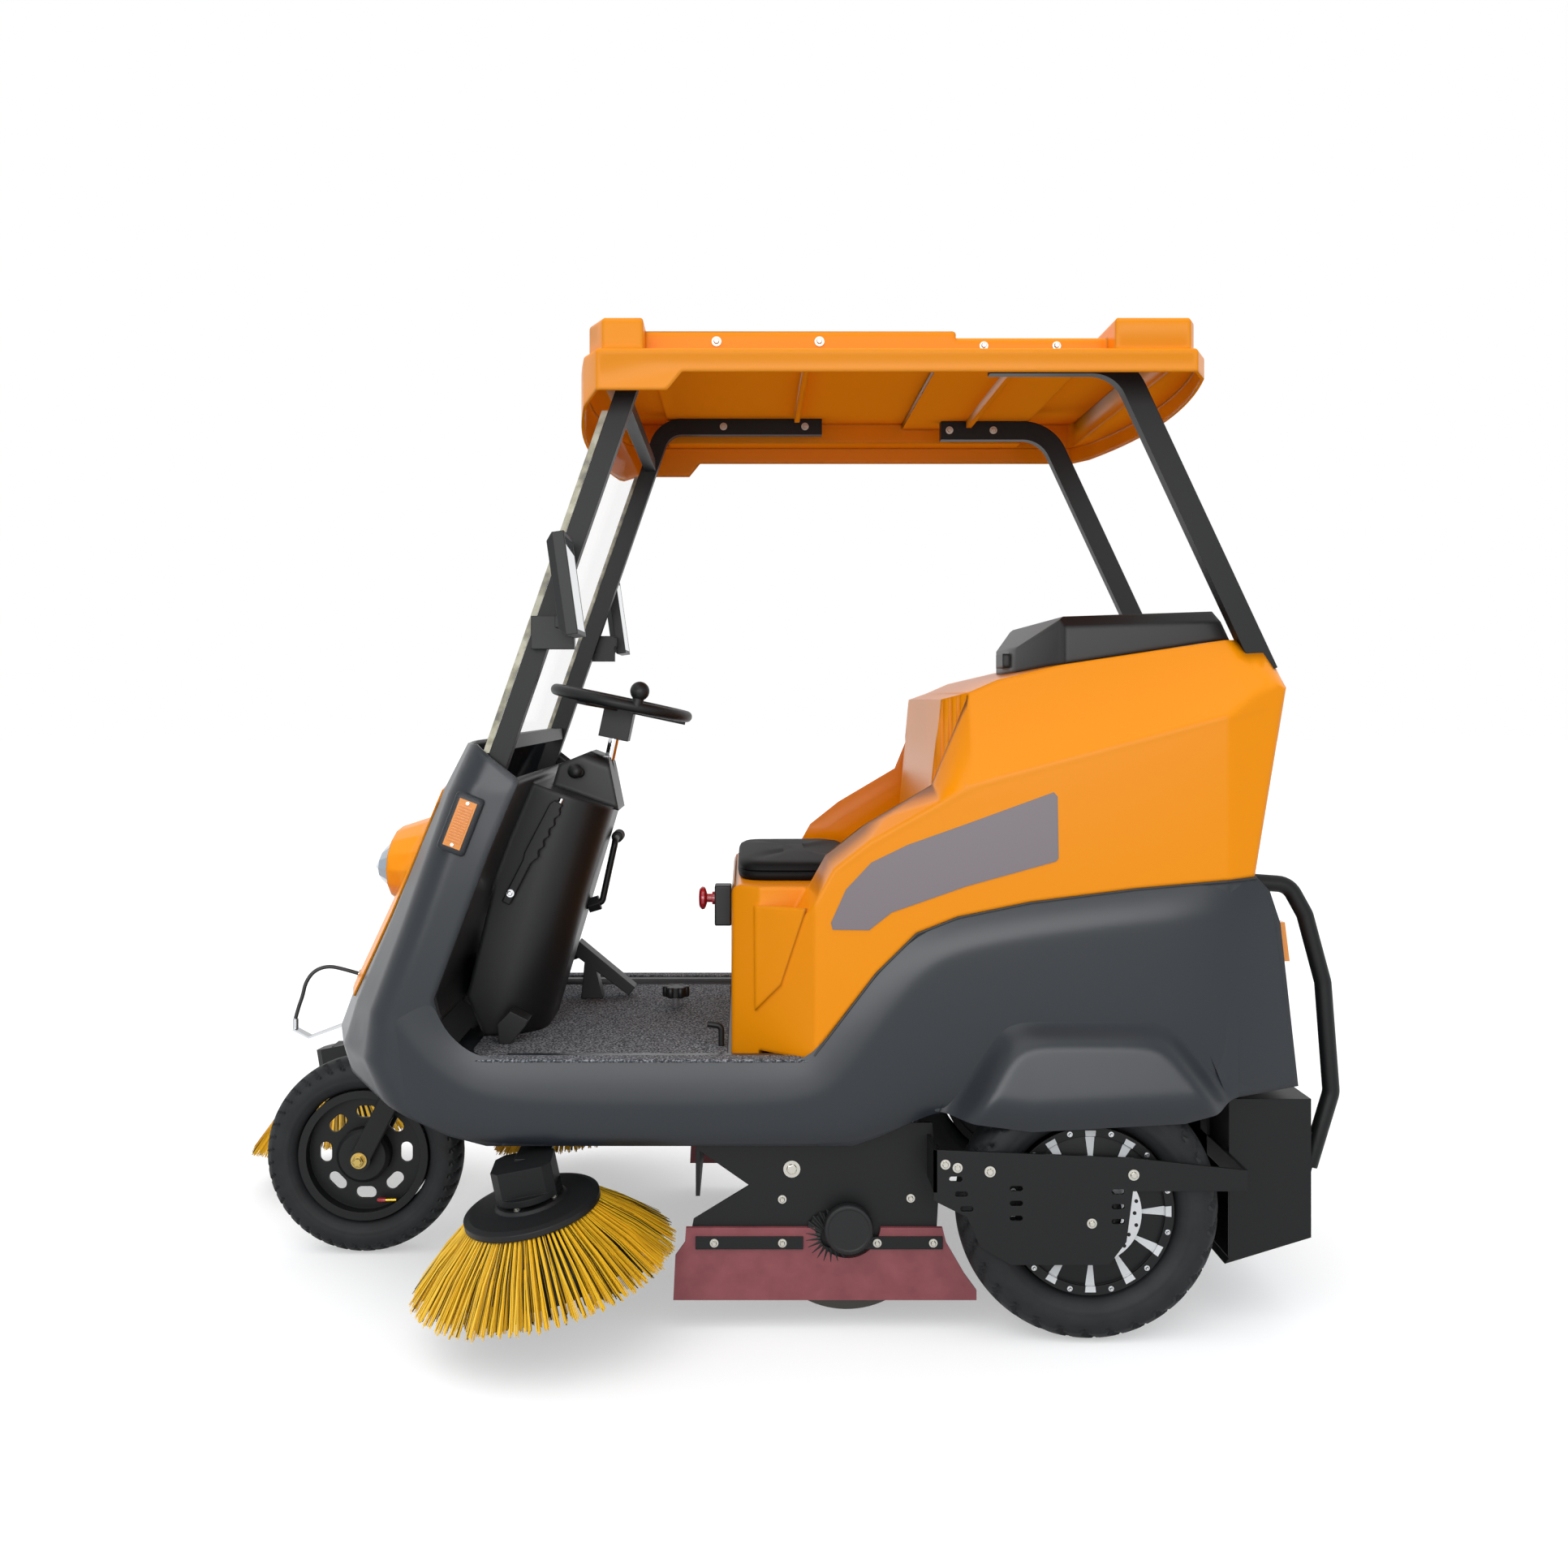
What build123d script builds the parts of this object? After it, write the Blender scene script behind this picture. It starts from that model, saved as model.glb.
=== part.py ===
from build123d import *
import math
import os

os.makedirs("parts", exist_ok=True)

# Three-wheel ride-on street sweeper, in millimetres
# X points forward, Y to the driver's left, Z up; the origin is on the ground at mid length

# Running gear
WHEELBASE = 1454
FRONT_AXLE_X = 791
REAR_AXLE_X = FRONT_AXLE_X - WHEELBASE
FRONT_TYRE_RADIUS = 210
FRONT_TYRE_WIDTH = 82
FRONT_RIM_RADIUS = 139
FRONT_RIM_WIDTH = 62
REAR_TYRE_RADIUS = 243
REAR_TYRE_WIDTH = 100
REAR_RIM_RADIUS = 155
REAR_RIM_WIDTH = 80
FORK_RAKE = 27
FRONT_AXLE_RADIUS = 8
REAR_AXLE_RADIUS = 11
STEM_RADIUS = 16

# Body
BODY_HALF_WIDTH = 430
COWL_CORNER_Y = BODY_HALF_WIDTH - 130
COWL_NOSE_Y = 120
REAR_HALF_TRACK = BODY_HALF_WIDTH - 10
SHELL = 5
FLOOR_Z = 489
MAT_THICKNESS = 12
MAT_Z = FLOOR_Z + MAT_THICKNESS
MAT_HALF_WIDTH = BODY_HALF_WIDTH - 74
SILL_Z = 354
SEAT_Z = 826
SEAT_FRONT_X = 0
SEAT_BOX_HALF_WIDTH = BODY_HALF_WIDTH - 130
HOOD_HALF_WIDTH = BODY_HALF_WIDTH - 85
CUSHION_THICKNESS = 33
ARCH_HALF_WIDTH = BODY_HALF_WIDTH + 75

# Roof and posts
ROOF_HALF_WIDTH = BODY_HALF_WIDTH + 76
ROOF_PANEL_HALF_WIDTH = ROOF_HALF_WIDTH - 66
ROOF_RIM_Z = 1823
ROOF_PANEL_Z = 1871
ROOF_BUMP_Z = 1881
ROOF_SKIRT_Z = 1779
ROOF_WALL = 5
POST_SIZE = 38
POST_WIDTH = 30
REAR_POST_SIZE = 44
FRONT_POST_Y = BODY_HALF_WIDTH - 46
REAR_POST_Y = HOOD_HALF_WIDTH + 2

# Frame
RAIL_Y = 260
RAIL_WIDTH = 40
RAIL_TOP_Z = 460
RAIL_BOTTOM_Z = 400
RAIL_FRONT_X = 630
HEAD_MEMBER_X = 540
RAIL_REAR_X = -945

# Sweeping gear
BRUSH_RADIUS = 250
BRUSH_PLATE_RADIUS = 127
BRUSH_PLATE_THICKNESS = 24
BRUSH_DEPTH = 140
BRUSH_Z = 266
BRUSH_FORWARD_TILT = 11
BRUSH_OUTWARD_TILT = 5
ROLLER_X = -220
ROLLER_Z = 198
ROLLER_RADIUS = 172
HOUSING_Y = BODY_HALF_WIDTH - 38
ROLLER_HALF_LENGTH = HOUSING_Y - 20
HOUSING_THICKNESS = 6
SKIRT_THICKNESS = 8
SKIRT_Z = 57

# Fits
SEAT_GAP = 0.3
RUNNING_GAP = 6
PIN_GAP = 0.5

STANDING = (Align.CENTER, Align.CENTER, Align.MIN)
HANGING = (Align.CENTER, Align.CENTER, Align.MAX)


def side_prism(outline, y_from, y_to):
    """Prism of a side outline of (x, z) points between two stations across the machine."""
    plane = Plane((0, y_from, 0), x_dir=(1, 0, 0), z_dir=(0, -1, 0))
    return extrude(make_face(plane * Polyline(*outline, close=True)), amount=y_to - y_from, dir=(0, 1, 0))


def side_loft(inner_outline, outer_outline, y_inner, y_outer):
    """Straight-sided solid between two side outlines with as many points each."""
    faces = []
    for outline, y in ((inner_outline, y_inner), (outer_outline, y_outer)):
        plane = Plane((0, y, 0), x_dir=(1, 0, 0), z_dir=(0, -1, 0))
        faces.append(make_face(plane * Polyline(*outline, close=True)))
    return loft(faces, ruled=True)


def plan_prism(outline, z_from, z_to):
    """Prism of a plan outline of (x, y) points between two heights."""
    face = Pos(0, 0, z_from) * make_face(Polyline(*outline, close=True))
    return extrude(face, amount=z_to - z_from, dir=(0, 0, 1))


def block(x_from, x_to, y_from, y_to, z_from, z_to):
    """Box between two corners."""
    centre = ((x_from + x_to) / 2, (y_from + y_to) / 2, (z_from + z_to) / 2)
    return Pos(*centre) * Box(abs(x_to - x_from), abs(y_to - y_from), abs(z_to - z_from))


def bent_bar(points, bend_radius, width, height):
    """Bar of width across Y and height in the side view, bent along (x, z) points at one Y."""
    path = FilletPolyline(*points, radius=bend_radius)
    start = Plane(path @ 0, x_dir=(0, 1, 0), z_dir=path % 0)
    return sweep(start * Rectangle(width, height), path=path)


def bent_rod(points, bend_radius, diameter):
    """Round rod bent along points."""
    path = FilletPolyline(*points, radius=bend_radius)
    return sweep(Plane(path @ 0, z_dir=path % 0) * Circle(diameter / 2), path=path)


def edges_near(form, places):
    """Edges of a form whose middles lie nearest to places on the left, and their twins on the right."""
    found = []
    for x, y, z in places:
        for side in {y, -y}:
            found.append(min(form.edges(), key=lambda edge: (edge.center() - Vector(x, side, z)).length))
    return found


def mirrored(solid):
    """A piece and its twin on the other side of the machine."""
    return Compound(children=[solid, mirror(solid, about=Plane.XZ)])


def save(name, piece):
    """Writes one node."""
    export_step(piece, f"parts/{name}.step")


# Wheels: each is turned about its own axle, along Y, and then set in place
TYRE_SHOULDER = 0.80
TYRE_SHOULDER_DROP = 16
RIM_FLANGE_DEPTH = 10
RIM_FLANGE_WIDTH = 5
RIM_BARREL = 7


def tyre(radius, width, rim_radius, rim_width):
    """Tyre with a round crown, bulged side walls and a bead between the rim's flanges."""
    half = width / 2
    bead_r = rim_radius - RIM_FLANGE_DEPTH + SEAT_GAP
    bead_y = rim_width / 2 - RIM_FLANGE_WIDTH - SEAT_GAP
    lip_r = rim_radius + SEAT_GAP
    shoulder_r = radius - TYRE_SHOULDER_DROP
    shoulder_y = half * TYRE_SHOULDER
    wall_r = (lip_r + shoulder_r) / 2
    section = Polyline((lip_r, -bead_y), (bead_r, -bead_y), (bead_r, bead_y), (lip_r, bead_y))
    section += ThreePointArc((lip_r, bead_y), (wall_r, half), (shoulder_r, shoulder_y))
    section += ThreePointArc((shoulder_r, shoulder_y), (radius, 0), (shoulder_r, -shoulder_y))
    section += ThreePointArc((shoulder_r, -shoulder_y), (wall_r, -half), (lip_r, -bead_y))
    return revolve(make_face(section), axis=Axis.Y)


def turned(outline):
    """Solid turned about Y from (radius, y) points."""
    return revolve(make_face(Polyline(*outline, close=True)), axis=Axis.Y)


def rim_barrel(rim_radius, rim_width):
    """Well of a rim with its two flanges."""
    seat_r = rim_radius - RIM_FLANGE_DEPTH
    half = rim_width / 2
    inside = half - RIM_FLANGE_WIDTH
    return turned([
        (seat_r - RIM_BARREL, -half), (rim_radius, -half), (rim_radius, -inside), (seat_r, -inside),
        (seat_r, inside), (rim_radius, inside), (rim_radius, half), (seat_r - RIM_BARREL, half)])


# Front wheel: pressed disc with eight slots round a drum hub
DRUM_RADIUS = 57
DRUM_HALF_WIDTH = 38
DISC_HALF_THICKNESS = 4
SLOT_COUNT = 8
SLOT_PITCH_RADIUS = 87
SLOT_LENGTH = 44
SLOT_WIDTH = 26

front_rim = rim_barrel(FRONT_RIM_RADIUS, FRONT_RIM_WIDTH)
front_disc_radius = FRONT_RIM_RADIUS - RIM_FLANGE_DEPTH - RIM_BARREL / 2
front_rim += turned([
    (0, -DISC_HALF_THICKNESS), (front_disc_radius, -DISC_HALF_THICKNESS),
    (front_disc_radius, DISC_HALF_THICKNESS), (0, DISC_HALF_THICKNESS)])
drum_chamfer = DRUM_HALF_WIDTH / 5
front_rim += turned([
    (0, -DRUM_HALF_WIDTH), (DRUM_RADIUS - drum_chamfer, -DRUM_HALF_WIDTH),
    (DRUM_RADIUS, -DRUM_HALF_WIDTH + drum_chamfer), (DRUM_RADIUS, DRUM_HALF_WIDTH - drum_chamfer),
    (DRUM_RADIUS - drum_chamfer, DRUM_HALF_WIDTH), (0, DRUM_HALF_WIDTH)])
slot = extrude(Plane.XZ * SlotOverall(SLOT_LENGTH, SLOT_WIDTH), amount=FRONT_RIM_WIDTH, both=True)
for index in range(SLOT_COUNT):
    front_rim -= Rot(0, index * 360 / SLOT_COUNT, 0) * Pos(0, 0, SLOT_PITCH_RADIUS) * slot
front_rim -= Cylinder(FRONT_AXLE_RADIUS + PIN_GAP, FRONT_RIM_WIDTH * 3, rotation=(90, 0, 0))
front_wheel_place = Pos(FRONT_AXLE_X, 0, FRONT_TYRE_RADIUS)
save("front_rim", front_wheel_place * front_rim)
front_tyre = tyre(FRONT_TYRE_RADIUS, FRONT_TYRE_WIDTH, FRONT_RIM_RADIUS, FRONT_RIM_WIDTH)
save("front_tyre", front_wheel_place * front_tyre)

# Rear wheels: hub motors whose covers fill the rim
MOTOR_COVER_HALF_WIDTH = 44
MOTOR_COVER_STEP = 10
MOTOR_BOSS_RADIUS = 42
MOTOR_BOSS_HALF_WIDTH = 52

motor_radius = REAR_RIM_RADIUS - RIM_FLANGE_DEPTH - RIM_BARREL / 2
motor_edge = MOTOR_COVER_HALF_WIDTH - MOTOR_COVER_STEP
hub_motor = turned([
    (0, -MOTOR_BOSS_HALF_WIDTH), (MOTOR_BOSS_RADIUS, -MOTOR_BOSS_HALF_WIDTH),
    (MOTOR_BOSS_RADIUS + MOTOR_COVER_STEP, -MOTOR_COVER_HALF_WIDTH), (motor_radius, -motor_edge),
    (motor_radius, motor_edge), (MOTOR_BOSS_RADIUS + MOTOR_COVER_STEP, MOTOR_COVER_HALF_WIDTH),
    (MOTOR_BOSS_RADIUS, MOTOR_BOSS_HALF_WIDTH), (0, MOTOR_BOSS_HALF_WIDTH)])
rear_rim = rim_barrel(REAR_RIM_RADIUS, REAR_RIM_WIDTH) + hub_motor
rear_rim -= Cylinder(REAR_AXLE_RADIUS + PIN_GAP, REAR_RIM_WIDTH * 3, rotation=(90, 0, 0))
rear_tyre = tyre(REAR_TYRE_RADIUS, REAR_TYRE_WIDTH, REAR_RIM_RADIUS, REAR_RIM_WIDTH)
for side, sign in (("left", 1), ("right", -1)):
    place = Pos(REAR_AXLE_X, sign * REAR_HALF_TRACK, REAR_TYRE_RADIUS)
    save(f"rear_{side}_rim", place * rear_rim)
    save(f"rear_{side}_tyre", place * rear_tyre)

# Fork: modelled about the steering axis, with the axle at its origin and the axis along its Z
STEERING_AXIS = (-math.sin(math.radians(FORK_RAKE)), 0, math.cos(math.radians(FORK_RAKE)))
STEERING_FORWARD = (math.cos(math.radians(FORK_RAKE)), 0, math.sin(math.radians(FORK_RAKE)))
STEERING = Plane((FRONT_AXLE_X, 0, FRONT_TYRE_RADIUS), x_dir=STEERING_FORWARD, z_dir=STEERING_AXIS)
FORK_LEG_WIDTH = 44
FORK_LEG_THICKNESS = 13
FORK_EYE_RADIUS = 24
CROWN_THICKNESS = 26
STEM_LENGTH = 165
HEAD_GAP = 20
LEG_ROUNDING = 4
AXLE_STICKOUT = 14

wheel_reach = math.hypot(FRONT_TYRE_RADIUS, FRONT_TYRE_WIDTH / 2)
crown_bottom = wheel_reach + 2 * RUNNING_GAP
crown_top = crown_bottom + CROWN_THICKNESS
leg_inside = FRONT_TYRE_WIDTH / 2 + 1.5 * RUNNING_GAP
leg_outside = leg_inside + FORK_LEG_THICKNESS
leg = block(-FORK_LEG_WIDTH / 2, FORK_LEG_WIDTH / 2, leg_inside, leg_outside, 0, crown_top)
eye = Cylinder(FORK_EYE_RADIUS, FORK_LEG_THICKNESS, rotation=(90, 0, 0))
eye = Pos(0, (leg_inside + leg_outside) / 2, 0) * eye
fork_side = leg + eye
fork_side = fillet(fork_side.edges().filter_by(Axis.Z), LEG_ROUNDING)
fork = fork_side + mirror(fork_side, about=Plane.XZ)
fork += block(-FORK_LEG_WIDTH / 2, FORK_LEG_WIDTH / 2, -leg_outside, leg_outside, crown_bottom, crown_top)
fork += Cylinder(FRONT_AXLE_RADIUS, 2 * (leg_outside + AXLE_STICKOUT), rotation=(90, 0, 0))
fork += Pos(0, 0, crown_top) * Cylinder(STEM_RADIUS, STEM_LENGTH, align=STANDING)
save("fork", STEERING * fork)

# Chassis: two rails, cross members and the steering head
MEMBER_HALF_WIDTH = 20
CROSS_MEMBERS_X = (HEAD_MEMBER_X, 120, -440, RAIL_REAR_X + MEMBER_HALF_WIDTH)
OUTRIGGER_Y = FRONT_POST_Y + POST_WIDTH / 2
OUTRIGGER_Z = 430
OUTRIGGER_X = RAIL_FRONT_X - 3 * MEMBER_HALF_WIDTH
HEAD_RADIUS = 28
HEAD_LENGTH = STEM_LENGTH - 2 * HEAD_GAP
HEAD_GUSSET_HALF_WIDTH = 22

rail_half = RAIL_WIDTH / 2
rails = None
for sign in (1, -1):
    rail = block(RAIL_REAR_X, RAIL_FRONT_X, sign * RAIL_Y - rail_half, sign * RAIL_Y + rail_half,
                 RAIL_BOTTOM_Z, RAIL_TOP_Z)
    rails = rail if rails is None else rails + rail
for x in CROSS_MEMBERS_X:
    rails += block(x - MEMBER_HALF_WIDTH, x + MEMBER_HALF_WIDTH, -RAIL_Y, RAIL_Y, RAIL_BOTTOM_Z, RAIL_TOP_Z)
for sign in (1, -1):
    rails += block(OUTRIGGER_X, RAIL_FRONT_X, sign * RAIL_Y, sign * OUTRIGGER_Y, OUTRIGGER_Z, RAIL_TOP_Z)
head_bottom = STEERING.from_local_coords(Vector(0, 0, crown_top + HEAD_GAP))
head_top = STEERING.from_local_coords(Vector(0, 0, crown_top + HEAD_GAP + HEAD_LENGTH))
gusset_outline = [
    (HEAD_MEMBER_X - MEMBER_HALF_WIDTH, RAIL_BOTTOM_Z), (HEAD_MEMBER_X + MEMBER_HALF_WIDTH, RAIL_BOTTOM_Z),
    (head_bottom.X, head_bottom.Z), (head_top.X, head_top.Z),
    (HEAD_MEMBER_X - MEMBER_HALF_WIDTH, RAIL_TOP_Z + RAIL_WIDTH)]
rails += side_prism(gusset_outline, -HEAD_GUSSET_HALF_WIDTH, HEAD_GUSSET_HALF_WIDTH)
head = Pos(0, 0, crown_top + HEAD_GAP) * Cylinder(
    HEAD_RADIUS, HEAD_LENGTH, align=STANDING)
bore = Cylinder(STEM_RADIUS + PIN_GAP, 3 * STEM_LENGTH + 2 * crown_top)
rails = rails + STEERING * head - STEERING * bore
save("chassis_frame", rails)

# Rear axle: beam hung from the rails on drop plates, its stub shafts run through the hub motors
AXLE_BEAM = 50
DROP_PLATE_Y = RAIL_Y
DROP_PLATE_THICKNESS = 12
GUARD_Y = REAR_HALF_TRACK + MOTOR_BOSS_HALF_WIDTH + 3 * RUNNING_GAP
beam_half = REAR_HALF_TRACK - MOTOR_BOSS_HALF_WIDTH - 3 * RUNNING_GAP
rear_axle = block(REAR_AXLE_X - AXLE_BEAM / 2, REAR_AXLE_X + AXLE_BEAM / 2, -beam_half, beam_half,
                  REAR_TYRE_RADIUS - AXLE_BEAM / 2, REAR_TYRE_RADIUS + AXLE_BEAM / 2)
for sign in (1, -1):
    rear_axle += block(REAR_AXLE_X - AXLE_BEAM, REAR_AXLE_X + AXLE_BEAM,
                       sign * DROP_PLATE_Y - DROP_PLATE_THICKNESS / 2,
                       sign * DROP_PLATE_Y + DROP_PLATE_THICKNESS / 2,
                       REAR_TYRE_RADIUS, RAIL_BOTTOM_Z)
shaft = Cylinder(REAR_AXLE_RADIUS, 2 * GUARD_Y, rotation=(90, 0, 0))
rear_axle += Pos(REAR_AXLE_X, 0, REAR_TYRE_RADIUS) * shaft
save("rear_axle", rear_axle)

# Wheel guards: slotted plates outside the rear wheels, with an arm that bends in behind each
GUARD_THICKNESS = 6
GUARD_OUTLINE = [
    (-370, 367), (-370, 275), (-430, 245), (-455, 190), (-510, 158), (-688, 158), (-720, 200),
    (-732, 292), (-935, 292), (-935, 330), (-732, 352)]
GUARD_ARM_Z = (292, 330)
GUARD_ARM_X = -935
# Columns: x, height, width, length of each slot
GUARD_SLOTS = [(-430, 318, 12, 30), (-430, 285, 12, 30), (-560, 300, 12, 40), (-560, 235, 12, 40),
               (-690, 300, 12, 40), (-690, 235, 12, 40)]

GUARD_STAY_X = -370
GUARD_STAY_Z = (290, 367)

guard = side_prism(GUARD_OUTLINE, GUARD_Y, GUARD_Y + GUARD_THICKNESS)
for x, z, width, height in GUARD_SLOTS:
    guard -= block(x - width / 2, x + width / 2, GUARD_Y - GUARD_THICKNESS, GUARD_Y + 2 * GUARD_THICKNESS,
                   z - height / 2, z + height / 2)
guard_outside = GUARD_Y + GUARD_THICKNESS
rail_inside = RAIL_Y - rail_half
rail_outside = RAIL_Y + rail_half
guard += block(GUARD_ARM_X - GUARD_THICKNESS, GUARD_ARM_X, rail_inside, guard_outside, *GUARD_ARM_Z)
guard += block(GUARD_ARM_X - GUARD_THICKNESS, GUARD_ARM_X, rail_inside, rail_outside,
               GUARD_ARM_Z[0], RAIL_BOTTOM_Z)
guard += block(GUARD_STAY_X - GUARD_THICKNESS, GUARD_STAY_X, HOUSING_Y + HOUSING_THICKNESS, guard_outside,
               *GUARD_STAY_Z)
save("wheel_guards", mirrored(guard))

# Battery pack under the seat, one block on the rails
BATTERY_X = (-570, -165)
BATTERY_HALF_WIDTH = 270
BATTERY_HEIGHT = 270
save("battery_pack", block(*BATTERY_X, -BATTERY_HALF_WIDTH, BATTERY_HALF_WIDTH,
                           RAIL_TOP_Z, RAIL_TOP_Z + BATTERY_HEIGHT))

# Seam between the yellow hood and the grey body, from the floor back to the tail
SEAM = [(-157, 528), (-272, 675), (-347, 750), (-423, 780), (-559, 808), (-756, 833), (-985, 854)]
SILL_SPLIT_X = SEAM[0][0]
COWL_SPLIT_X = 425
LEDGE_Z = 512
LEDGE_DROP = 12

# Floor tray: grey sills with a rolled top edge round the floor
tray_outline = [
    (BODY_HALF_WIDTH - SHELL, SILL_Z), (BODY_HALF_WIDTH, SILL_Z), (BODY_HALF_WIDTH, LEDGE_Z - LEDGE_DROP),
    (BODY_HALF_WIDTH - LEDGE_DROP, LEDGE_Z), (MAT_HALF_WIDTH + LEDGE_DROP, LEDGE_Z),
    (MAT_HALF_WIDTH, LEDGE_Z - LEDGE_DROP), (MAT_HALF_WIDTH, FLOOR_Z)]
tray_half = tray_outline + [(0, FLOOR_Z), (0, FLOOR_Z - SHELL), (BODY_HALF_WIDTH - SHELL, FLOOR_Z - SHELL)]
tray_face = make_face(Plane.YZ * Polyline(*tray_half, close=True))
tray = Pos(SILL_SPLIT_X, 0, 0) * extrude(tray_face, amount=COWL_SPLIT_X - SILL_SPLIT_X, dir=(1, 0, 0))
tray = tray + mirror(tray, about=Plane.XZ)
FLOOR_FRONT_X = 545
tray += block(COWL_SPLIT_X, FLOOR_FRONT_X, -MAT_HALF_WIDTH, MAT_HALF_WIDTH, FLOOR_Z - SHELL, FLOOR_Z)
for x in CROSS_MEMBERS_X[:2]:
    tray += block(x - MEMBER_HALF_WIDTH, x + MEMBER_HALF_WIDTH, -RAIL_Y, RAIL_Y, RAIL_TOP_Z, FLOOR_Z - SHELL)
head_slot = HEAD_RADIUS + RUNNING_GAP
tray -= block(HEAD_MEMBER_X - MEMBER_HALF_WIDTH - RUNNING_GAP, FLOOR_FRONT_X + RAIL_WIDTH,
              -head_slot, head_slot, RAIL_BOTTOM_Z, MAT_Z)
save("floor_tray", tray)

# Felt mat on the floor
MAT_CORNER = 70
MAT_X = (8, 505)
MAT_MARGIN = 2
mat_half = MAT_HALF_WIDTH - MAT_MARGIN
mat = block(*MAT_X, -mat_half, mat_half, FLOOR_Z, MAT_Z)
mat_front = mat.edges().filter_by(Axis.Z).group_by(Axis.X)[-1]
mat = fillet(mat_front, MAT_CORNER)
save("floor_mat", mat)

# Front cowl: a leg shield lofted through plan sections
# Columns: height, x of the nose, x of the corner, x where the side begins, how far the side is drawn in
COWL_SECTIONS = [
    (340, 735, 680, 590, 0), (440, 790, 735, 640, 0), (512, 812, 757, 672, 0), (599, 780, 731, 662, 0),
    (760, 705, 662, 604, 0), (1008, 590, 562, 523, 6), (1110, 530, 510, 480, 18)]
COWL_REAR_X = 200
COWL_ROUNDING = 70


def cowl_form(inset):
    """Solid of the cowl's outside, pulled in all round by an inset."""
    faces = []
    for z, nose_x, corner_x, side_x, drawn_in in COWL_SECTIONS:
        half_width = BODY_HALF_WIDTH - drawn_in
        half = [
            (COWL_REAR_X, half_width - inset), (side_x - inset, half_width - inset),
            (corner_x - inset, COWL_CORNER_Y - inset), (nose_x - inset, COWL_NOSE_Y)]
        outline = half + [(x, -y) for x, y in reversed(half)]
        wire = FilletPolyline(*outline, radius=COWL_ROUNDING - inset, close=True)
        faces.append(Pos(0, 0, z) * make_face(wire))
    return loft(faces, ruled=True)


def cowl_at(z):
    """Station of the nose and half width of the cowl at a height between two sections."""
    for low, high in zip(COWL_SECTIONS, COWL_SECTIONS[1:]):
        if low[0] <= z <= high[0]:
            share = (z - low[0]) / (high[0] - low[0])
            nose_x = low[1] + (high[1] - low[1]) * share
            return nose_x, BODY_HALF_WIDTH - low[4] - (high[4] - low[4]) * share
    raise ValueError(f"the cowl has no section at {z}")


COWL_BAND = [
    (479, 1101), (395, 1035), (448, 908), (553, 627), (539, 574), (486, 524), (COWL_SPLIT_X, LEDGE_Z),
    (COWL_SPLIT_X, SILL_Z), (455, SILL_Z), (524, 372), (663, 434), (749, 463), (830, 500), (900, 500),
    (900, 1101)]
cowl_outside = cowl_form(0)
cowl_band = side_prism(COWL_BAND, -ROOF_HALF_WIDTH, ROOF_HALF_WIDTH)
cowl = (cowl_outside - cowl_form(SHELL)) & cowl_band
save("front_cowl", cowl)

# Yellow front panel: a skin on the cowl's face with the lamp housing bulging out of it
# Columns: half width, height
PANEL_OUTLINE = [(215, 590), (262, 760), (296, 985), (280, 1008)]
PANEL_THICKNESS = 4
LAMP_X = 712
LAMP_Z = 835
LAMP_HALF_WIDTH = 150
LAMP_HALF_HEIGHT = 78
LAMP_DEPTH = 95
LAMP_TAPER = 18
LENS_THICKNESS = 8
LENS_RIM = 14
# Columns: how far forward of the housing's edge, how far drawn in from it
LENS_DOME = [(0, 14), (26, 38), (36, 62)]
LAMP_SIDES = 16

panel_points = PANEL_OUTLINE + [(-y, z) for y, z in reversed(PANEL_OUTLINE)]
panel_face = make_face(Plane.YZ * Polyline(*panel_points, close=True))
panel_window = extrude(panel_face, amount=2 * LAMP_X, dir=(1, 0, 0))
panel_back = Pos(SEAT_GAP, 0, 0) * cowl_outside
front_panel = Pos(SEAT_GAP + PANEL_THICKNESS, 0, 0) * cowl_outside & panel_window
bulge_grow = LAMP_DEPTH * math.tan(math.radians(LAMP_TAPER))


def lamp_face(x, grow):
    """Many-sided oval across the machine at a station along it."""
    corners = [i * 2 * math.pi / LAMP_SIDES for i in range(LAMP_SIDES)]
    oval = [(x, (LAMP_HALF_WIDTH + grow) * math.cos(a), LAMP_Z + (LAMP_HALF_HEIGHT + grow) * math.sin(a))
            for a in corners]
    return make_face(Polyline(*oval, close=True))


bulge = loft([lamp_face(LAMP_X - LAMP_DEPTH, bulge_grow), lamp_face(LAMP_X, 0)], ruled=True)
front_panel = front_panel + bulge - panel_back
lens_back = LAMP_X - LENS_THICKNESS
front_panel -= extrude(lamp_face(lens_back, SEAT_GAP - LENS_RIM), amount=2 * LENS_THICKNESS, dir=(1, 0, 0))
save("front_panel", front_panel)
lens_faces = [lamp_face(lens_back, -LENS_RIM)] + [lamp_face(LAMP_X + x, -inset) for x, inset in LENS_DOME]
save("headlamp_lens", loft(lens_faces, ruled=True))

# Plan of hood and rear body: chamfered at the seat box, drawn in at the tail
SEAT_BOX_CHAMFER_X = SILL_SPLIT_X
TAIL_CORNER_X = -930
TAIL_X = -1090
TAIL_HALF_WIDTH = BODY_HALF_WIDTH - 45


def body_plan(inset, z_from, z_to):
    """Prism of the hood's plan, pulled in by an inset."""
    half = [
        (SEAT_FRONT_X - inset, SEAT_BOX_HALF_WIDTH - inset),
        (SEAT_BOX_CHAMFER_X - inset, BODY_HALF_WIDTH - inset),
        (TAIL_CORNER_X, BODY_HALF_WIDTH - inset), (TAIL_X, TAIL_HALF_WIDTH - inset)]
    return plan_prism(half + [(x, -y) for x, y in reversed(half)], z_from, z_to)


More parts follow.
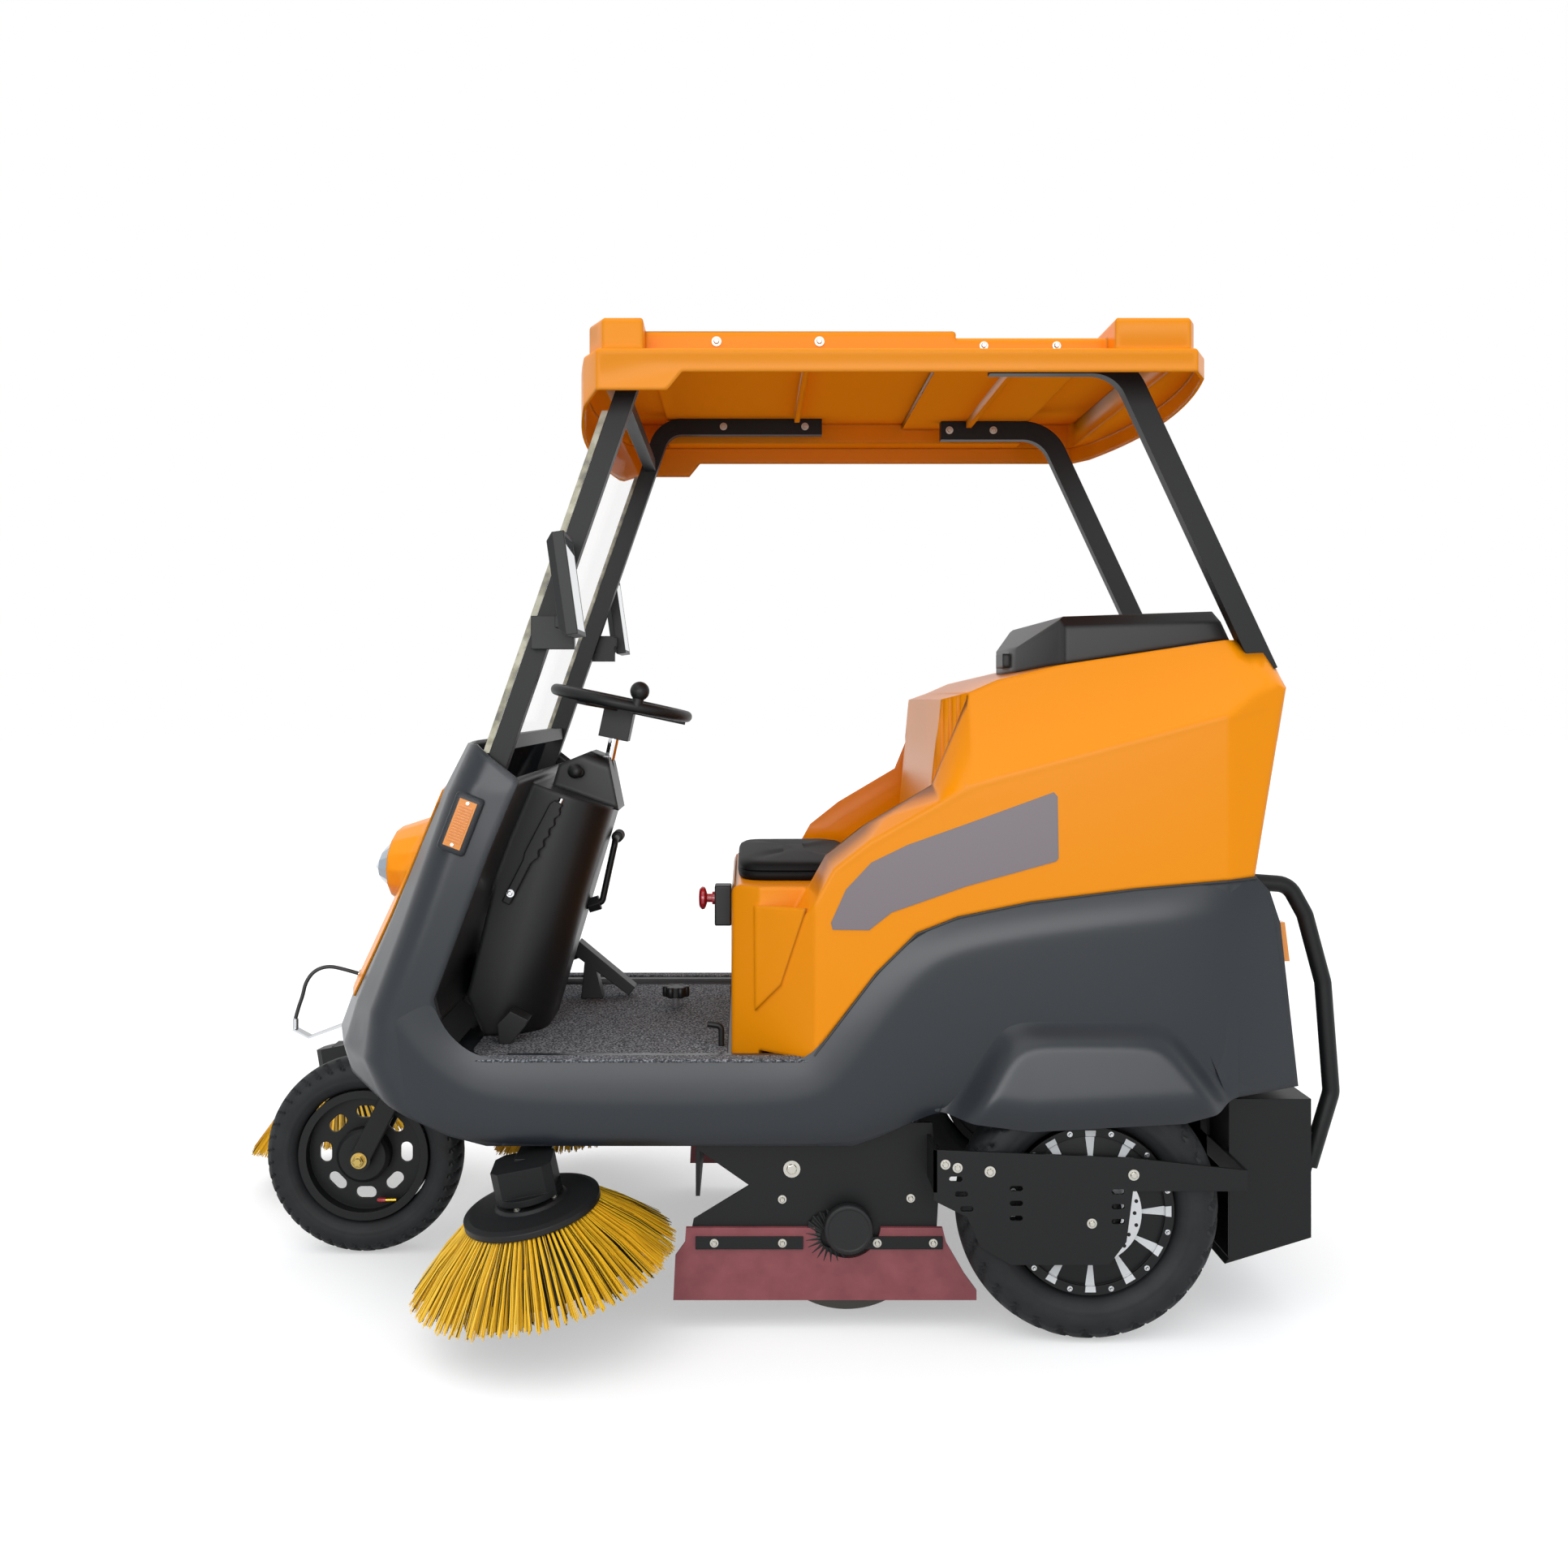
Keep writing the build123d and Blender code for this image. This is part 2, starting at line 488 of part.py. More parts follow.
# Grey rear body: side walls and tail, with a bulge over each rear wheel
TAIL_EDGE = [(-1013, 826), (-1035, 765), (-1073, 455)]
BODY_BOTTOM = [(-941, 443), (-828, 413), (-550, 398), (-393, 418), (-363, 410), (-279, 372), (-227, SILL_Z)]
BULGE_BASE = [(-385, 419), (-485, 640), (-850, 640), (-930, 441), (-828, 413), (-550, 398)]
BULGE_FACE = [(-402, 416), (-512, 597), (-832, 597), (-897, 431), (-828, 413), (-550, 398)]
BODY_TOP_Z = 1000
BULGE_ROUNDING = 14
WELL_OVERCUT = 40

body_outline = SEAM + TAIL_EDGE + BODY_BOTTOM + [(SILL_SPLIT_X, SILL_Z)]
rear_body = side_prism(body_outline, -BODY_HALF_WIDTH, BODY_HALF_WIDTH) & body_plan(0, 0, BODY_TOP_Z)
body_inside = [(SEAT_FRONT_X, 0), (SEAT_FRONT_X, BODY_TOP_Z), (SEAM[-1][0] + SHELL, BODY_TOP_Z),
               (SEAM[-1][0] + SHELL, SEAM[-1][1])]
body_inside += [(x + SHELL, z) for x, z in TAIL_EDGE] + [(TAIL_EDGE[-1][0] + SHELL, 0)]
body_hollow = side_prism(body_inside, -BODY_HALF_WIDTH, BODY_HALF_WIDTH)
rear_body -= body_hollow & body_plan(SHELL, -1, BODY_TOP_Z + 1)


def pulled_in(outline, inset):
    """Wheel bulge outline moved towards its middle, and open below."""
    middle_x = sum(x for x, z in outline) / len(outline)
    top_z = max(z for x, z in outline)
    moved = []
    for x, z in outline:
        drop = inset if z == top_z else WELL_OVERCUT
        moved.append((x - math.copysign(2 * inset, x - middle_x), z - drop))
    return moved


for sign in (1, -1):
    bulge = side_loft(BULGE_BASE, BULGE_FACE, sign * (BODY_HALF_WIDTH - SHELL), sign * ARCH_HALF_WIDTH)
    well = side_loft(pulled_in(BULGE_BASE, SHELL), pulled_in(BULGE_FACE, SHELL),
                     sign * (BODY_HALF_WIDTH - 3 * SHELL), sign * (ARCH_HALF_WIDTH - SHELL))
    rear_body = rear_body + bulge - well
bulge_edges = []
for (x_a, z_a), (x_b, z_b) in zip(BULGE_FACE[:3], BULGE_FACE[1:4]):
    bulge_edges.append(((x_a + x_b) / 2, ARCH_HALF_WIDTH, (z_a + z_b) / 2))
rear_body = fillet(edges_near(rear_body, bulge_edges), BULGE_ROUNDING)
save("rear_body", rear_body)

# Yellow hood: seat box, ribbed seat back and engine cover in one moulding
SEAT_BACK_X = -375
SEAT_BACK_LEAN = 37
SEAT_BACK_TOP_Z = 1186
BACK_CORNER_Y = 235
BACK_CORNER_DEPTH = 80
BACK_CORNER_LEAD = 2
GROOVE_COUNT = 5
GROOVE_RADIUS = 6
GROOVE_FOOT_Z = 985
PAD_HEIGHT = 4
SEAT_BOX_ROUNDING = 22
SHOULDER_ROUNDING = 18
TAIL_ROUNDING = 30
TAIL_EDGE_ROUNDING = 14
# Columns: distance back along the seat box's slanted side, height
PAD_OUTLINE = [(60, 790), (185, 795), (125, 645), (62, 588)]
HOOD_TOP = [(-458, 1200), (-513, 1224), (-632, 1252), (-949, 1300), (-1020, 1300), (-1056, 1228)]
FLANK_FOOT_Z = LEDGE_Z + SEAT_GAP
# Columns: x and height on the outer crease, x and height on the inner edge of the shoulder
SHOULDER = [
    (0, 530, 0, 560), (-193, 870, -182, 888), (-257, 920, -250, 942), (-390, 995, -385, 1022),
    (-453, 1030, -458, 1200), (-632, 1078, -632, 1252), (-949, 1163, -949, 1300), (-1000, 1177, -1020, 1300),
    (-1045, 1189, -1056, 1228)]

hood_tail = SEAM[-1]
centre_outline = [(SEAT_FRONT_X, FLOOR_Z), (SEAT_FRONT_X, SEAT_Z), (SEAT_BACK_X, SEAT_Z),
                  (SEAT_BACK_X - SEAT_BACK_LEAN, SEAT_BACK_TOP_Z)]
centre_outline += HOOD_TOP + list(reversed(SEAM)) + [(SEAM[0][0], FLOOR_Z)]
hood = side_prism(centre_outline, -HOOD_HALF_WIDTH, HOOD_HALF_WIDTH)
corner_x = SEAT_BACK_X + BACK_CORNER_LEAD
beyond_hood = HOOD_HALF_WIDTH + BACK_CORNER_DEPTH
for sign in (1, -1):
    corner = [(corner_x, sign * BACK_CORNER_Y), (corner_x, sign * beyond_hood),
              (corner_x - BACK_CORNER_DEPTH, sign * beyond_hood),
              (corner_x - BACK_CORNER_DEPTH, sign * HOOD_HALF_WIDTH)]
    hood -= plan_prism(corner, SEAT_Z, ROOF_SKIRT_Z)
seam_line = list(reversed(SEAM)) + [(SEAM[0][0], FLANK_FOOT_Z), (SEAT_FRONT_X, FLANK_FOOT_Z)]
flank_outer = [(x, z) for x, z, _, _ in SHOULDER] + seam_line
flank_inner = [(x, z) for _, _, x, z in SHOULDER] + seam_line
for sign in (1, -1):
    hood += side_loft(flank_inner, flank_outer, sign * HOOD_HALF_WIDTH, sign * BODY_HALF_WIDTH)
hood &= body_plan(0, 0, ROOF_SKIRT_Z)
back_x = SEAT_BACK_X - BACK_CORNER_DEPTH - SHELL
hood_inside = [(SEAT_FRONT_X - SHELL, 0), (SEAT_FRONT_X - SHELL, SEAT_Z - SHELL)]
hood_inside += [(back_x, SEAT_Z - SHELL)]
hood_inside += [(x + (SHELL if x < TAIL_CORNER_X else -SHELL), z - SHELL) for x, z in HOOD_TOP]
hood_inside += [(hood_tail[0] + SHELL, hood_tail[1]), (hood_tail[0] + SHELL, 0)]
hood_hollow = side_prism(hood_inside, -HOOD_HALF_WIDTH + 4 * SHELL, HOOD_HALF_WIDTH - 4 * SHELL)
hood -= hood_hollow & body_plan(SHELL, -1, ROOF_SKIRT_Z)
flank_inside = [(SEAT_FRONT_X - 4 * SHELL, 0)] + [(x - SHELL, z - 2 * SHELL) for x, z, _, _ in SHOULDER[:-1]]
flank_inside += [(SHOULDER[-1][0] + SHELL, SHOULDER[-1][1] - 2 * SHELL), (hood_tail[0] + SHELL, hood_tail[1]),
                 (hood_tail[0] + SHELL, 0)]
flank_hollow = side_prism(flank_inside, -BODY_HALF_WIDTH, BODY_HALF_WIDTH)
flank_hollow &= body_plan(SHELL, -1, ROOF_SKIRT_Z)
arm_inside = HOOD_HALF_WIDTH + SHELL
hood -= flank_hollow & block(SEAT_FRONT_X, TAIL_X, -BODY_HALF_WIDTH, BODY_HALF_WIDTH, 0, SEAT_Z - SHELL)
hood -= flank_hollow & block(back_x, TAIL_X, -BODY_HALF_WIDTH, BODY_HALF_WIDTH, 0, ROOF_SKIRT_Z)
for sign in (1, -1):
    hood -= flank_hollow & block(SEAT_FRONT_X, TAIL_X, sign * arm_inside, sign * BODY_HALF_WIDTH,
                                 0, ROOF_SKIRT_Z)
back_inside = [
    (SEAT_BACK_X - SHELL, SEAT_Z - SHELL), (SEAT_BACK_X - SEAT_BACK_LEAN - SHELL, SEAT_BACK_TOP_Z - SHELL),
    (back_x, HOOD_TOP[0][1] - SHELL), (back_x, SEAT_Z - SHELL)]
hood -= side_prism(back_inside, SHELL - BACK_CORNER_Y, BACK_CORNER_Y - SHELL)
FILTER_X = (-900, -640)
FILTER_HALF_WIDTH = 230
hood -= block(*FILTER_X, -FILTER_HALF_WIDTH, FILTER_HALF_WIDTH, SEAT_Z, ROOF_SKIRT_Z)

# Seat cushion on the seat box
CUSHION_X = (-250, -13)
CUSHION_HALF_WIDTH = SEAT_BOX_HALF_WIDTH - 45
CUSHION_CORNER = 30
cushion = block(*CUSHION_X, -CUSHION_HALF_WIDTH, CUSHION_HALF_WIDTH,
                SEAT_Z + SEAT_GAP, SEAT_Z + CUSHION_THICKNESS)
cushion = fillet(cushion.edges().filter_by(Axis.Z), CUSHION_CORNER)
save("seat_cushion", cushion)

# Filter lid: hollow cover with a raised latch box in front, hinged along its rear edge
LID_HALF_WIDTH = HOOD_HALF_WIDTH - 55
LID_NOSE_HALF_WIDTH = 120
LID_CORNER_X = -655
LID_GAP = 0.5
LID_WALL = 5
LID_FRONT_X = -590
LID_REAR_X = -977
LID_TOP = [(LID_FRONT_X, 1294), (LID_CORNER_X, 1350), (-949, 1360)]
HINGE_RADIUS = 7
HINGE_X = LID_REAR_X - HINGE_RADIUS / 3
HINGE_Z = HOOD_TOP[3][1] + HINGE_RADIUS + LID_GAP
HINGE_LENGTH = 90
HINGE_Y = 150
LATCH_HALF_WIDTH = 42
LATCH_DEPTH = 14
LATCH_LAP = 2
LATCH_Z = (1254, 1284)


def hood_height(x):
    """Height of the hood's top at a station along the machine."""
    for (x_front, z_front), (x_rear, z_rear) in zip(HOOD_TOP, HOOD_TOP[1:]):
        if x_rear <= x <= x_front:
            return z_front + (z_rear - z_front) * (x_front - x) / (x_front - x_rear)
    return HOOD_TOP[0][1]


lid_foot = [(LID_REAR_X, HOOD_TOP[3][1]), HOOD_TOP[3], HOOD_TOP[2], (LID_FRONT_X, hood_height(LID_FRONT_X))]
lid_foot = [(x, z + LID_GAP) for x, z in lid_foot]


def lid_plan(inset):
    """Prism of the lid's plan, its front corners cut back, pulled in by an inset."""
    half = [(LID_FRONT_X - inset, LID_NOSE_HALF_WIDTH - inset / 2),
            (LID_CORNER_X - inset, LID_HALF_WIDTH - inset), (LID_REAR_X + inset, LID_HALF_WIDTH - inset)]
    return plan_prism(half + [(x, -y) for x, y in reversed(half)], SEAT_Z, ROOF_SKIRT_Z)


LID_CHAMFER = 22
lid = side_prism(LID_TOP + lid_foot, -LID_HALF_WIDTH, LID_HALF_WIDTH)
lid = chamfer(lid.edges().filter_by(Plane.XZ).sort_by(Axis.Z)[-2:], LID_CHAMFER) & lid_plan(0)
lid_inside = [(x, z - 2 * LID_WALL) for x, z in LID_TOP]
lid_inside += [(LID_REAR_X, HOOD_TOP[3][1] + 2 * LID_WALL), (LID_REAR_X, SEAT_Z), (LID_FRONT_X, SEAT_Z)]
lid_inside_half = LID_HALF_WIDTH - LID_CHAMFER
lid -= side_prism(lid_inside, -lid_inside_half, lid_inside_half) & lid_plan(LID_WALL)
for sign in (1, -1):
    barrel = Cylinder(HINGE_RADIUS, HINGE_LENGTH, rotation=(90, 0, 0))
    lid += Pos(HINGE_X, sign * HINGE_Y, HINGE_Z) * barrel
lid += block(LID_FRONT_X - LATCH_LAP, LID_FRONT_X + LATCH_DEPTH,
             -LATCH_HALF_WIDTH, LATCH_HALF_WIDTH, *LATCH_Z)
save("filter_lid", lid)

# Console with the inner panel of the cowl, the dash tray and the column cap
CONSOLE_HALF_WIDTH = 180
CONSOLE_OUTLINE = [(248, 960), (433, 1026), (540, MAT_Z + 80), (505, MAT_Z), (385, MAT_Z)]
CAP_OUTLINE = [(240, 952), (262, 1062), (300, 1077), (366, 1050), (384, 990)]
CAP_HALF_WIDTH = 75
CAP_ROUNDING = 24
CONSOLE_ROUNDING = 110
INNER_PANEL = [
    (400, 1028), (452, 905), (556, 627), (545, 580), (560, 580), (571, 627), (467, 910), (415, 1035)]
INNER_PANEL_HALF_WIDTH = FRONT_POST_Y + 14

console = side_prism(CONSOLE_OUTLINE, -CONSOLE_HALF_WIDTH, CONSOLE_HALF_WIDTH)
console = fillet(console.edges().filter_by(Plane.XZ).sort_by(Axis.X)[:2], CONSOLE_ROUNDING)
cap = side_prism(CAP_OUTLINE, -CAP_HALF_WIDTH, CAP_HALF_WIDTH)
console += fillet(cap.edges().filter_by(Plane.XZ).group_by(Axis.Z)[-1], CAP_ROUNDING)
console += side_prism(INNER_PANEL, -INNER_PANEL_HALF_WIDTH, INNER_PANEL_HALF_WIDTH)

# Steering wheel: modelled about its own axis, then tilted
WHEEL_X = 240
WHEEL_Z = 1179
WHEEL_TILT = 12
WHEEL_RADIUS = 143
WHEEL_RIM_RADIUS = 12
WHEEL_SPOKES = 3
SHAFT_RADIUS = 11
SHAFT_LENGTH = 125
HUB_SIZE = (64, 64, 70)
HUB_DROP = 8
SPOKE_WIDTH = 26
SPOKE_THICKNESS = 8
SPOKE_DROP = 14
FIRST_SPOKE = 60
KNOB_RADIUS = 20
KNOB_STEM_RADIUS = 12
KNOB_STEM = 26
KNOB_HEIGHT = 34
KNOB_ANGLE = 107.5
STEERING_WHEEL = Plane((WHEEL_X, 0, WHEEL_Z),
                       x_dir=(math.cos(math.radians(WHEEL_TILT)), 0, math.sin(math.radians(WHEEL_TILT))),
                       z_dir=(-math.sin(math.radians(WHEEL_TILT)), 0, math.cos(math.radians(WHEEL_TILT))))
steering_wheel = Torus(WHEEL_RADIUS, WHEEL_RIM_RADIUS)
spoke = Pos(WHEEL_RADIUS / 2, 0, -SPOKE_DROP) * Box(WHEEL_RADIUS, SPOKE_WIDTH, SPOKE_THICKNESS)
for index in range(WHEEL_SPOKES):
    steering_wheel += Rot(0, 0, FIRST_SPOKE + index * 360 / WHEEL_SPOKES) * spoke
steering_wheel += Pos(0, 0, -HUB_DROP) * Box(*HUB_SIZE, align=HANGING)
steering_wheel += Cylinder(SHAFT_RADIUS, SHAFT_LENGTH, align=HANGING)
knob_place = Rot(0, 0, KNOB_ANGLE) * Pos(WHEEL_RADIUS, 0, 0)
steering_wheel += knob_place * Cylinder(KNOB_STEM_RADIUS, KNOB_STEM, align=STANDING)
steering_wheel += knob_place * Pos(0, 0, KNOB_HEIGHT) * Sphere(KNOB_RADIUS)
save("steering_wheel", STEERING_WHEEL * steering_wheel)
console_bore = STEERING_WHEEL * Cylinder(SHAFT_RADIUS + PIN_GAP, 4 * SHAFT_LENGTH)
save("console", console - console_bore)

# Roof shell: plan with bowed ends, raised middle panel, a ridge across each end
ROOF_FRONT_X = 242
ROOF_NOSE_X = 310
ROOF_REAR_X = -847
ROOF_TAIL_X = -925
ROOF_NOSE_Z = 1721
ROOF_DEEP_Z = 1746
ROOF_DEEP_X = (87, 114)
RIDGES_X = [(262, 158), (-700, -850)]
PANEL_X = (200, -418, -820)
ROOF_STEP = 13
ROOF_RIBS_X = (-150, -560)
ROOF_RIB = (12, 18)
ROOF_RIB_HALF_LENGTH = 325
ROOF_ROUNDING = 9
RIDGE_MARGIN = 10
ROOF_CORNER_Y = 60
ROOF_NOSE_FLAT = 30


def roof_plan(inset, z_from, z_to):
    """Prism of the roof's plan between two heights, pulled in by an inset."""
    side = ROOF_HALF_WIDTH - inset
    corner_y = side - ROOF_CORNER_Y
    front_x = ROOF_FRONT_X + ROOF_CORNER_Y / 2 - inset
    rear_x = ROOF_REAR_X - ROOF_CORNER_Y / 2 + inset
    left = [(front_x, corner_y), (ROOF_FRONT_X - inset, side), (ROOF_REAR_X + inset, side),
            (rear_x, corner_y)]
    edge = Polyline(*left)
    edge += ThreePointArc((rear_x, corner_y), (ROOF_TAIL_X + inset, 0), (rear_x, -corner_y))
    edge += Polyline(*[(x, -y) for x, y in reversed(left)])
    edge += ThreePointArc((front_x, -corner_y), (ROOF_NOSE_X - inset, 0), (front_x, corner_y))
    return extrude(Pos(0, 0, z_from) * make_face(edge), amount=z_to - z_from, dir=(0, 0, 1))


def rounded_top(form):
    """Form with the edges round its top face rounded."""
    return fillet(form.edges().group_by(Axis.Z)[-1], ROOF_ROUNDING)


def roof_form(inset, shaped):
    """Solid of the roof's outside, pulled in by an inset, each raised form shaped before it is joined."""
    form = shaped(roof_plan(inset, SEAT_Z, ROOF_RIM_Z - inset))
    panel_half = ROOF_PANEL_HALF_WIDTH - inset
    form += shaped(block(PANEL_X[0] - inset, PANEL_X[1] + inset, -panel_half, panel_half,
                         ROOF_SKIRT_Z, ROOF_PANEL_Z - inset))
    form += shaped(block(PANEL_X[0] - inset, PANEL_X[2] + inset, -panel_half, panel_half,
                         ROOF_SKIRT_Z, ROOF_PANEL_Z - ROOF_STEP - inset))
    for x_front, x_rear in RIDGES_X:
        ridge = block(x_front - inset, x_rear + inset, -ROOF_HALF_WIDTH, ROOF_HALF_WIDTH,
                      ROOF_SKIRT_Z, ROOF_BUMP_Z - inset)
        form += shaped(ridge & roof_plan(inset + RIDGE_MARGIN, SEAT_Z, ROOF_BUMP_Z))
    return form


beyond_nose = ROOF_NOSE_X + ROOF_CORNER_Y
beyond_tail = ROOF_TAIL_X - ROOF_CORNER_Y
skirt_line = [
    (beyond_nose, ROOF_NOSE_Z), (ROOF_NOSE_X - ROOF_NOSE_FLAT, ROOF_NOSE_Z), (ROOF_FRONT_X, ROOF_DEEP_Z),
    (ROOF_DEEP_X[1], ROOF_DEEP_Z), (ROOF_DEEP_X[0], ROOF_SKIRT_Z), (beyond_tail, ROOF_SKIRT_Z),
    (beyond_tail, 0), (beyond_nose, 0)]
roof = roof_form(0, rounded_top) - roof_form(ROOF_WALL, lambda form: form)
roof -= side_prism(skirt_line, -2 * ROOF_HALF_WIDTH, 2 * ROOF_HALF_WIDTH)
for x in ROOF_RIBS_X:
    under = ROOF_PANEL_Z - ROOF_WALL - (ROOF_STEP if x < PANEL_X[1] else 0)
    roof += block(x - ROOF_RIB[0] / 2, x + ROOF_RIB[0] / 2, -ROOF_RIB_HALF_LENGTH, ROOF_RIB_HALF_LENGTH,
                  under - ROOF_RIB[1], under)
save("roof_shell", roof)

# Front posts: raked posts that bend back under the roof, with cross bars for the windscreen
POST_BEND = 60
POST_KNEE = (600, 607)
FRONT_BAR_Z = ROOF_PANEL_Z - ROOF_WALL - SEAT_GAP - POST_SIZE / 2
POST_HEAD_X = 170
ROOF_BAR_REAR_X = -212
CROSS_BAR = 26
CROSS_BAR_HEIGHTS = (1105, 1752)

post_path = [(POST_KNEE[0], RAIL_TOP_Z), POST_KNEE, (POST_HEAD_X, FRONT_BAR_Z),
             (ROOF_BAR_REAR_X, FRONT_BAR_Z)]
front_posts = None
for sign in (1, -1):
    post = bent_bar([(x, sign * FRONT_POST_Y, z) for x, z in post_path], POST_BEND, POST_WIDTH, POST_SIZE)
    front_posts = post if front_posts is None else front_posts + post
post_slope = (POST_KNEE[0] - POST_HEAD_X) / (FRONT_BAR_Z - POST_KNEE[1])


def post_x(z):
    """Station of a front post's middle at a height."""
    return POST_KNEE[0] - (z - POST_KNEE[1]) * post_slope


for z in CROSS_BAR_HEIGHTS:
    x = post_x(z)
    front_posts += block(x - CROSS_BAR / 2, x + CROSS_BAR / 2, -FRONT_POST_Y, FRONT_POST_Y,
                         z - CROSS_BAR / 2, z + CROSS_BAR / 2)
save("front_posts", front_posts)

# Windscreen: one pane on the front of the posts
GLASS_THICKNESS = 5
GLASS_MARGIN = 2
GLASS_HALF_WIDTH = FRONT_POST_Y + POST_WIDTH / 2 - GLASS_MARGIN
GLASS_Z = (1085, 1730)
glass_points = []
for z in GLASS_Z:
    x = post_x(z) + POST_SIZE / 2 * math.hypot(1, post_slope) + SEAT_GAP
    glass_points.append((x, z))
glass_outline = [glass_points[0], (glass_points[0][0] + GLASS_THICKNESS, GLASS_Z[0]),
                 (glass_points[1][0] + GLASS_THICKNESS, GLASS_Z[1]), glass_points[1]]
save("windscreen", side_prism(glass_outline, -GLASS_HALF_WIDTH, GLASS_HALF_WIDTH))

# Rear posts: raked from the hood's rear shoulders, bent forward under the roof
REAR_POST_FOOT = (-1024, 1238)
REAR_POST_HEAD_X = -748
REAR_BAR_FRONT_X = -495
REAR_POST_BEND = 90
REAR_BAR_Z = ROOF_PANEL_Z - ROOF_STEP - ROOF_WALL - SEAT_GAP - REAR_POST_SIZE / 2
rear_path = [REAR_POST_FOOT, (REAR_POST_HEAD_X, REAR_BAR_Z), (REAR_BAR_FRONT_X, REAR_BAR_Z)]
rear_post = bent_bar([(x, REAR_POST_Y, z) for x, z in rear_path], REAR_POST_BEND, POST_WIDTH, REAR_POST_SIZE)
rear_posts = mirrored(rear_post)
save("rear_posts", rear_posts)
post_pocket = bent_bar([(x, REAR_POST_Y, z) for x, z in rear_path], REAR_POST_BEND,
                       POST_WIDTH + 2 * SEAT_GAP, REAR_POST_SIZE + 2 * SEAT_GAP)
for pocket in mirrored(post_pocket).solids():
    hood -= pocket
seat_box_edges = [(SEAT_FRONT_X, SEAT_BOX_HALF_WIDTH, (FLOOR_Z + SEAT_Z) / 2), (SEAT_FRONT_X, 0, SEAT_Z)]
shoulder_edges = []
for (x_a, z_a, _, _), (x_b, z_b, _, _) in zip(SHOULDER[4:6], SHOULDER[5:7]):
    shoulder_edges.append(((x_a + x_b) / 2, BODY_HALF_WIDTH, (z_a + z_b) / 2))
tail_z = (hood_tail[1] + SHOULDER[-1][1]) / 2
tail_edges = [(TAIL_CORNER_X, BODY_HALF_WIDTH, tail_z)]
tail_rear_edges = [((hood_tail[0] + SHOULDER[-1][0]) / 2, (BODY_HALF_WIDTH + TAIL_HALF_WIDTH) / 2, tail_z)]
for places, radius in ((seat_box_edges, SEAT_BOX_ROUNDING), (shoulder_edges, SHOULDER_ROUNDING),
                       (tail_edges, TAIL_ROUNDING), (tail_rear_edges, TAIL_EDGE_ROUNDING)):
    hood = fillet(edges_near(hood, places), radius)
back_corner = Vector(-BACK_CORNER_DEPTH, HOOD_HALF_WIDTH - BACK_CORNER_Y, 0)
groove = Cylinder(GROOVE_RADIUS, HOOD_TOP[3][1] - GROOVE_FOOT_Z, align=STANDING)
box_side = Vector(SEAT_BOX_CHAMFER_X - SEAT_FRONT_X, BODY_HALF_WIDTH - SEAT_BOX_HALF_WIDTH, 0)
pad_plane = Plane((SEAT_FRONT_X, SEAT_BOX_HALF_WIDTH, 0), x_dir=box_side, z_dir=(box_side.Y, -box_side.X, 0))
pad_face = pad_plane * Pos(0, 0, PAD_HEIGHT - SHELL) * make_face(Polyline(*PAD_OUTLINE, close=True))
pad = extrude(pad_face, amount=SHELL, dir=pad_plane.z_dir)
hood = hood + pad + mirror(pad, about=Plane.XZ)
for index in range(GROOVE_COUNT):
    place = Vector(corner_x, BACK_CORNER_Y, GROOVE_FOOT_Z) + back_corner * ((index + 1) / (GROOVE_COUNT + 1))
    cut = Pos(place) * groove
    hood = hood - cut - mirror(cut, about=Plane.XZ)
save("hood", hood)

# Mirrors: a stalk clamped outside each front post, a deep housing and its glass
MIRROR_HEIGHT = 184
MIRROR_WIDTH = 130
MIRROR_DEPTH = 34
MIRROR_TILT = 8
STALK_Z = 1320
MIRROR_Z = STALK_Z + 71
STALK_X = (-60, 20)
STALK_DROP = 40
STALK_RISE = 22
STALK_DEPTH = 26
STALK_ARM_X = (-10, 20)
STALK_ARM_Z = (-4, 18)
MIRROR_OFFSET_X = 55
MIRROR_OFFSET_Y = 40
MIRROR_CHAMFER = 13
GLASS_RIM = 8
RECESS_DEPTH = 3
post_outside = FRONT_POST_Y + POST_WIDTH / 2
stalk_x = post_x(STALK_Z)
mirror_y = post_outside + MIRROR_OFFSET_Y + MIRROR_WIDTH / 2
mirror_x = stalk_x - MIRROR_OFFSET_X
mirror_frame = Plane((mirror_x, mirror_y, MIRROR_Z), x_dir=(0, -1, 0),
                     z_dir=(-1, 0, math.tan(math.radians(MIRROR_TILT))))
housing = Box(MIRROR_WIDTH, MIRROR_HEIGHT, MIRROR_DEPTH)
housing = chamfer(housing.edges().group_by(Axis.Z)[0], MIRROR_CHAMFER)
recess_size = (MIRROR_WIDTH - 2 * GLASS_RIM, MIRROR_HEIGHT - 2 * GLASS_RIM, RECESS_DEPTH)
pane_size = [size - SEAT_GAP for size in recess_size]
housing -= Pos(0, 0, MIRROR_DEPTH / 2 - RECESS_DEPTH / 2) * Box(*recess_size)
stalk = block(stalk_x + STALK_X[0], stalk_x + STALK_X[1], post_outside, post_outside + STALK_DEPTH,
              STALK_Z - STALK_DROP, STALK_Z + STALK_RISE)
stalk += block(mirror_x + STALK_ARM_X[0], mirror_x + STALK_ARM_X[1], post_outside, mirror_y,
               STALK_Z + STALK_ARM_Z[0], STALK_Z + STALK_ARM_Z[1])
pane = mirror_frame * Pos(0, 0, MIRROR_DEPTH / 2 - RECESS_DEPTH / 2) * Box(*pane_size)
save("mirror_housings", mirrored(mirror_frame * housing + stalk - pane))
save("mirror_glass", mirrored(pane))

